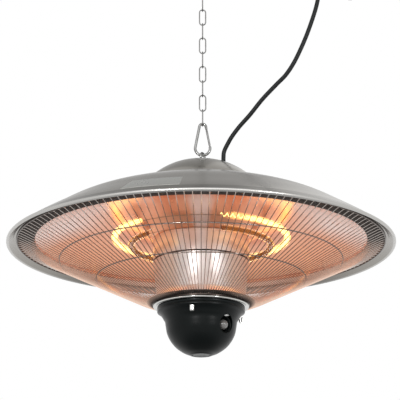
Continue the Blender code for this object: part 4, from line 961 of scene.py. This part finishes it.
def make_lamp(name, glass, coil, loop, wire):
    """A ring lamp: glass, the wound and the straight stretches of its wire, and two ceramic end fittings."""
    radius, height = LAMPS[name]
    start, end = LAMP_ENDS[name]
    spans = COIL_SPANS[name]
    line = ring_line(radius, height, start + 0.4, end - 0.4, 160)
    tube = skinned(rings(line, GLASS_RADIUS, 24) + rings(line, GLASS_BORE, 24)[::-1], True, True)
    piece(f"{name}_tube", tube, glass, f"{name}_glass", sharp=60)
    coils = joined(*(coil_mesh(radius, height, *span, loop, wire) for span in spans))
    piece(f"{name}_coil", coils, coil, f"{name}_filament")
    rest = ((start, spans[0][0]), (spans[0][1], spans[1][0]), (spans[-1][1], end))
    low = height - GLASS_BORE * 0.35
    wires = joined(*(swept_mesh(ring_line(radius, low, a, b, 30), LAMP_LEAD_WIRE, 6) for a, b in rest))
    piece(f"{name}_lead_wire", wires, DEAD_WIRE)
    for letter in "ab":
        node = f"{name}_holder_{letter}"
        centre, wide, low, high = measured(node)
        profile = raised(low, (0.0, 0.0), (wide * 0.80, 0.0), (wide, 0.0012), (wide, 0.0052),
                         (wide * 0.90, 0.0058), (wide * 0.90, 0.0068), (wide, 0.0074))
        profile += raised(high, (wide, -0.0045), (wide * 0.84, -0.0038), (wide * 0.84, 0.0), (0.0, 0.0))
        turned(f"{node}_ceramic", rounded(profile, 0.0004, 2), CERAMIC, node, place=centre)


make_reflector()
make_column()
make_lamp("outer_lamp", OUTER_GLASS, BRIGHT_COIL, 0.0025, 0.0006)
make_lamp("inner_lamp", INNER_GLASS, DIM_COIL, 0.0026, 0.0009)


# Wire guard

def make_guard():
    """Radial wires from the outer rim to the hub band as one welded cage, and the two support rings."""
    line = rounded(GUARD_LINE, 0.009, 4)
    wires = []
    for number in range(GUARD_WIRES):
        turn = tau * number / GUARD_WIRES
        out = heading(turn)
        wires.append(swept_mesh([out * r + UP * z for r, z in line], GUARD_WIRE_RADIUS, 8))
    inner, outer, low, high = HUB_BAND
    hub = turned_mesh([(outer, high), (outer, low), (inner, low), (inner, high)], 160, True)
    piece("guard_cage", joined(*wires, circle_mesh(*GUARD_RIM, 10), hub), GUARD_STEEL, "wire_guard")
    for name, radius in SUPPORT_RADII.items():
        ring = circle_mesh(radius, heights(name)[0] + SUPPORT_WIRE_RADIUS, SUPPORT_WIRE_RADIUS, 12)
        piece(f"{name}_wire", ring, RING_STEEL, name)


def make_neck():
    """The black neck ring and the bright collar with its rolled edge."""
    low, high = heights("neck_ring")
    profile = raised(high, (0.0825, -0.0012), (0.0825, 0.0))
    profile += raised(low, (0.0742, 0.0012), (0.0660, 0.0012), (0.0660, 0.0), (0.0742, 0.0))
    turned("neck_ring_pressed", rounded(profile, 0.0004, 2, True), BLACK_STEEL, "neck_ring", 160, True)
    low, high = heights("neck_collar")
    profile = [(0.0132, high), (0.0700, high), (0.0733, high - 0.0002)]
    profile += arc(0.00155, pi / 2, -pi / 2, 10, (0.0719, (high + low) / 2))
    profile += raised(low, (0.0700, 0.0001), (0.0690, 0.0008), (0.0675, 0.0001), (0.0132, 0.0))
    turned("neck_collar_rolled", profile, POLISHED, "neck_collar", 192, True)


make_guard()
make_neck()


# Control bowl

BOWL_TOP = heights("control_bowl")[1]
SENSOR_OUT = heading(SENSOR_TURN)
SENSOR_MIDDLE = UP * (BOWL_TOP - SENSOR_DROP)


def make_bowl():
    """The bowl's wall from its lip to the button's hole, with a fine groove round its foot."""
    line = [(radius, BOWL_TOP - drop + GROOVE_DEPTH * max(0.0, 1 - abs(radius - GROOVE_RADIUS) / 0.0006))
            for radius, drop in [*BOWL_LIP, *spline(BOWL_SIDE, 6)]]
    line.append((0.0141, BOWL_TOP - 0.0734))
    bowl = turned("bowl_moulded", walled(line, BOWL_WALL), BLACK_PLASTIC, "control_bowl", 160, True)
    cut(bowl, swept_mesh([SENSOR_MIDDLE + SENSOR_OUT * reach for reach in (0.030, 0.080)], SENSOR_HOLE, 48))


def along_sensor(name, profile, finish, node):
    """A turned piece laid along the sensor's axis: profile points are radius and distance from the bowl's axis."""
    verts, faces = turned_mesh(profile, 56)
    side = Vector((-SENSOR_OUT.y, SENSOR_OUT.x, 0))
    verts = [SENSOR_MIDDLE + SENSOR_OUT * z + side * x + UP * y for x, y, z in verts]
    piece(name, (verts, faces), finish, node)


def make_sensor():
    """A funnel-mouthed socket with the receiver's domed lens in it."""
    back, front = SENSOR_SPAN
    profile = raised(back, (0.0, 0.0), (0.0134, 0.0))
    profile += raised(front, (0.0134, -0.0010), (0.0128, 0.0), (0.0120, -0.0004), (0.0112, -0.0030))
    profile += raised(back, (0.0108, 0.0020), (0.0104, 0.0013), (0.0, 0.0013))
    along_sensor("sensor_socket", profile, DARK_PLASTIC, "sensor_tube")
    foot = back + 0.0016
    ball = [(across, along) for along, across in arc(LENS_RADIUS, 0, radians(145), 25, (foot + 0.0096, 0))]
    along_sensor("sensor_dome", ball + [(0.0045, foot), (0.0, foot)], LENS, "sensor_lens")


def make_clips():
    """Spring strips bent to a narrow U under the bowl's lip, their edges rounded."""
    inner, outer, strip = CLIP_INNER, CLIP_OUTER, CLIP_STRIP
    bend = (outer - inner) / 2
    for letter in "abc":
        node = f"spring_clip_{letter}"
        centre = measured(node)[0]
        turn = atan2(centre.y, centre.x - HEATER.x)
        foot, top = heights(node)
        path = [(outer, top + 0.0006), (outer, foot + bend)]
        path += arc(bend, 0, -pi, 13, (outer - bend, foot + bend + strip / 2))
        path += [(inner, foot + bend), (inner, top + 0.0006)]
        half = len(path)
        loop = walled(path, strip / 2)[:half] + walled(path, -strip / 2)[half:]
        spine = [Vector(point) for point in path + path[::-1]]
        radial = heading(turn)
        side = Vector((-radial.y, radial.x, 0))
        rows = []
        for width, share in ((-0.0029, 0.75), (-0.0027, 1.0), (0.0027, 1.0), (0.0029, 0.75)):
            near = [core + (point - core) * share for core, point in zip(spine, loop)]
            rows.append([radial * across + side * width + UP * up for across, up in near])
        piece(f"{node}_strip", slab_mesh(rows), POLISHED, node)


def make_button():
    """A dished cap with a flange that keeps it in the bowl."""
    low, high = heights("push_button")
    cup = [(0.0, high), (0.0136, high)]
    cup += raised(low, (0.0136, 0.0050), (0.0165, 0.0050), (0.0165, 0.0034), (0.0136, 0.0034), (0.0136, 0.0009),
                  (0.0128, 0.0001), (0.0095, 0.0006), (0.0050, 0.0010), (0.0, 0.0011))
    turned("button_cap", cup, GREY_PLASTIC, "push_button", 72, body="push_button")


def make_button_spring():
    """A wound spring, with a mesh of its own."""
    middle, radius, low, high = measured("button_spring")
    radius -= SPRING_WIRE
    count = SPRING_TURNS * 24
    points = []
    for i in range(count + 1):
        turn = tau * SPRING_TURNS * i / count
        height = low + SPRING_WIRE + (high - low - 2 * SPRING_WIRE) * i / count
        points.append((radius * cos(turn), radius * sin(turn), height))
    made = piece("button_spring_wire", swept_mesh(points, SPRING_WIRE, 8), CHROME, "button_spring", place=middle)
    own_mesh(made)


make_bowl()
make_sensor()
make_clips()
make_button()
make_button_spring()

for node_name in ("centre_tube", "spider_plate", "eye_nut", "relay_box", "control_board"):
    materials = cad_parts[node_name].data.materials
    materials.clear()
    materials.append((BOARD if node_name == "control_board" else ZINC)[0])


# Studio

def ray_share(nodes):
    """1 for rays that a gloss or a glass sends on, 0 for the rest."""
    path = nodes.new("LightPath")
    return nodes.math("MAXIMUM", path.outputs["Is Glossy Ray"], path.outputs["Is Transmission Ray"])


def mixed(nodes, share, first, second):
    mix = nodes.new("MixShader")
    nodes.feed(mix.inputs, (share, first, second))
    return mix.outputs[0]


def make_floor():
    """A pale floor, which metal sees white like the background, with a painted shadow straight below the heater in
    what metal sees.
    """
    verts = [(x, y, 0) for x, y in ((-9, -9), (9, -9), (9, 9), (-9, 9))]
    floor = surface("studio_floor", (0.80, 0.80, 0.79), 0.75, vary=0.02, scale=3.0)
    gloss_floor = floor.new("Emission")
    # Painted shadow: what metal sees of the floor is darker within about 2 m of the axis.
    floor.give(gloss_floor, Color=floor.spread(floor.reach(), 0.8, 2.2, 0.42, 1.0))
    seen = mixed(floor, ray_share(floor), floor.shader.outputs[0], gloss_floor.outputs[0])
    floor.give(floor.tree.nodes["Material Output"], Surface=seen)
    piece("floor", (verts, [(0, 1, 2, 3)]), (floor.material, None), body=None, place=(0, 0, FLOOR_Z))


def area_light(name, place, size, power):
    data = bpy.data.lights.new(name, "AREA")
    data.shape = "RECTANGLE"
    data.size, data.size_y = size
    data.energy = power
    light = placed(name, data, place)
    light.rotation_euler = (Vector(LIGHT_TARGET) - Vector(place)).to_track_quat("-Z", "Y").to_euler()


class Sky(Nodes):
    """The same short calls for the world's nodes."""

    def __init__(self):
        world = bpy.data.worlds.new("studio")
        bpy.context.scene.world = world
        world.use_nodes = True
        self.tree = world.node_tree
        self.tree.nodes.clear()

    def background(self, colour, strength):
        node = self.new("Background")
        self.feed(node.inputs, (colour, strength))
        return node.outputs[0]


def make_world():
    """White to the camera. Gloss sees a grey zenith, a grey panel behind and a bright one in front."""
    sky = Sky()
    seen_at = sky.new("TexCoord").outputs["Generated"]
    east, north, up = sky.give(sky.new("SeparateXYZ"), Vector=seen_at).outputs
    zenith = sky.spread(up, 0.55, 1.0, 1.0, 0.62)
    aside = sky.math("DIVIDE", east, sky.math("MAXIMUM", north, 0.001))
    panel = sky.math("MULTIPLY", sky.spread(aside, -0.95, -0.45), sky.spread(aside, 0.21, 0.15))
    panel = sky.math("MULTIPLY", panel, sky.spread(up, 0.34, 0.52))
    front = sky.math("MULTIPLY", sky.spread(north, -0.45, -0.72), sky.spread(up, 0.17, 0.25))
    lift = sky.math("MULTIPLY_ADD", front, FRONT_LIFT, sky.math("MULTIPLY_ADD", panel, -PANEL_DEPTH, 1.0))
    glossy = sky.background(sky.math("MULTIPLY", zenith, lift), 1.0)
    seen = mixed(sky, ray_share(sky), sky.background(zenith, SOFT_STRENGTH), glossy)
    camera_ray = sky.new("LightPath").outputs["Is Camera Ray"]
    seen = mixed(sky, camera_ray, seen, sky.background((1, 1, 1, 1), 1.0))
    sky.give(sky.new("OutputWorld"), Surface=seen)


make_floor()
make_world()
for light_settings in LIGHTS:
    area_light(*light_settings)
bpy.context.scene.view_settings.view_transform = "Standard"

bpy.context.view_layer.update()
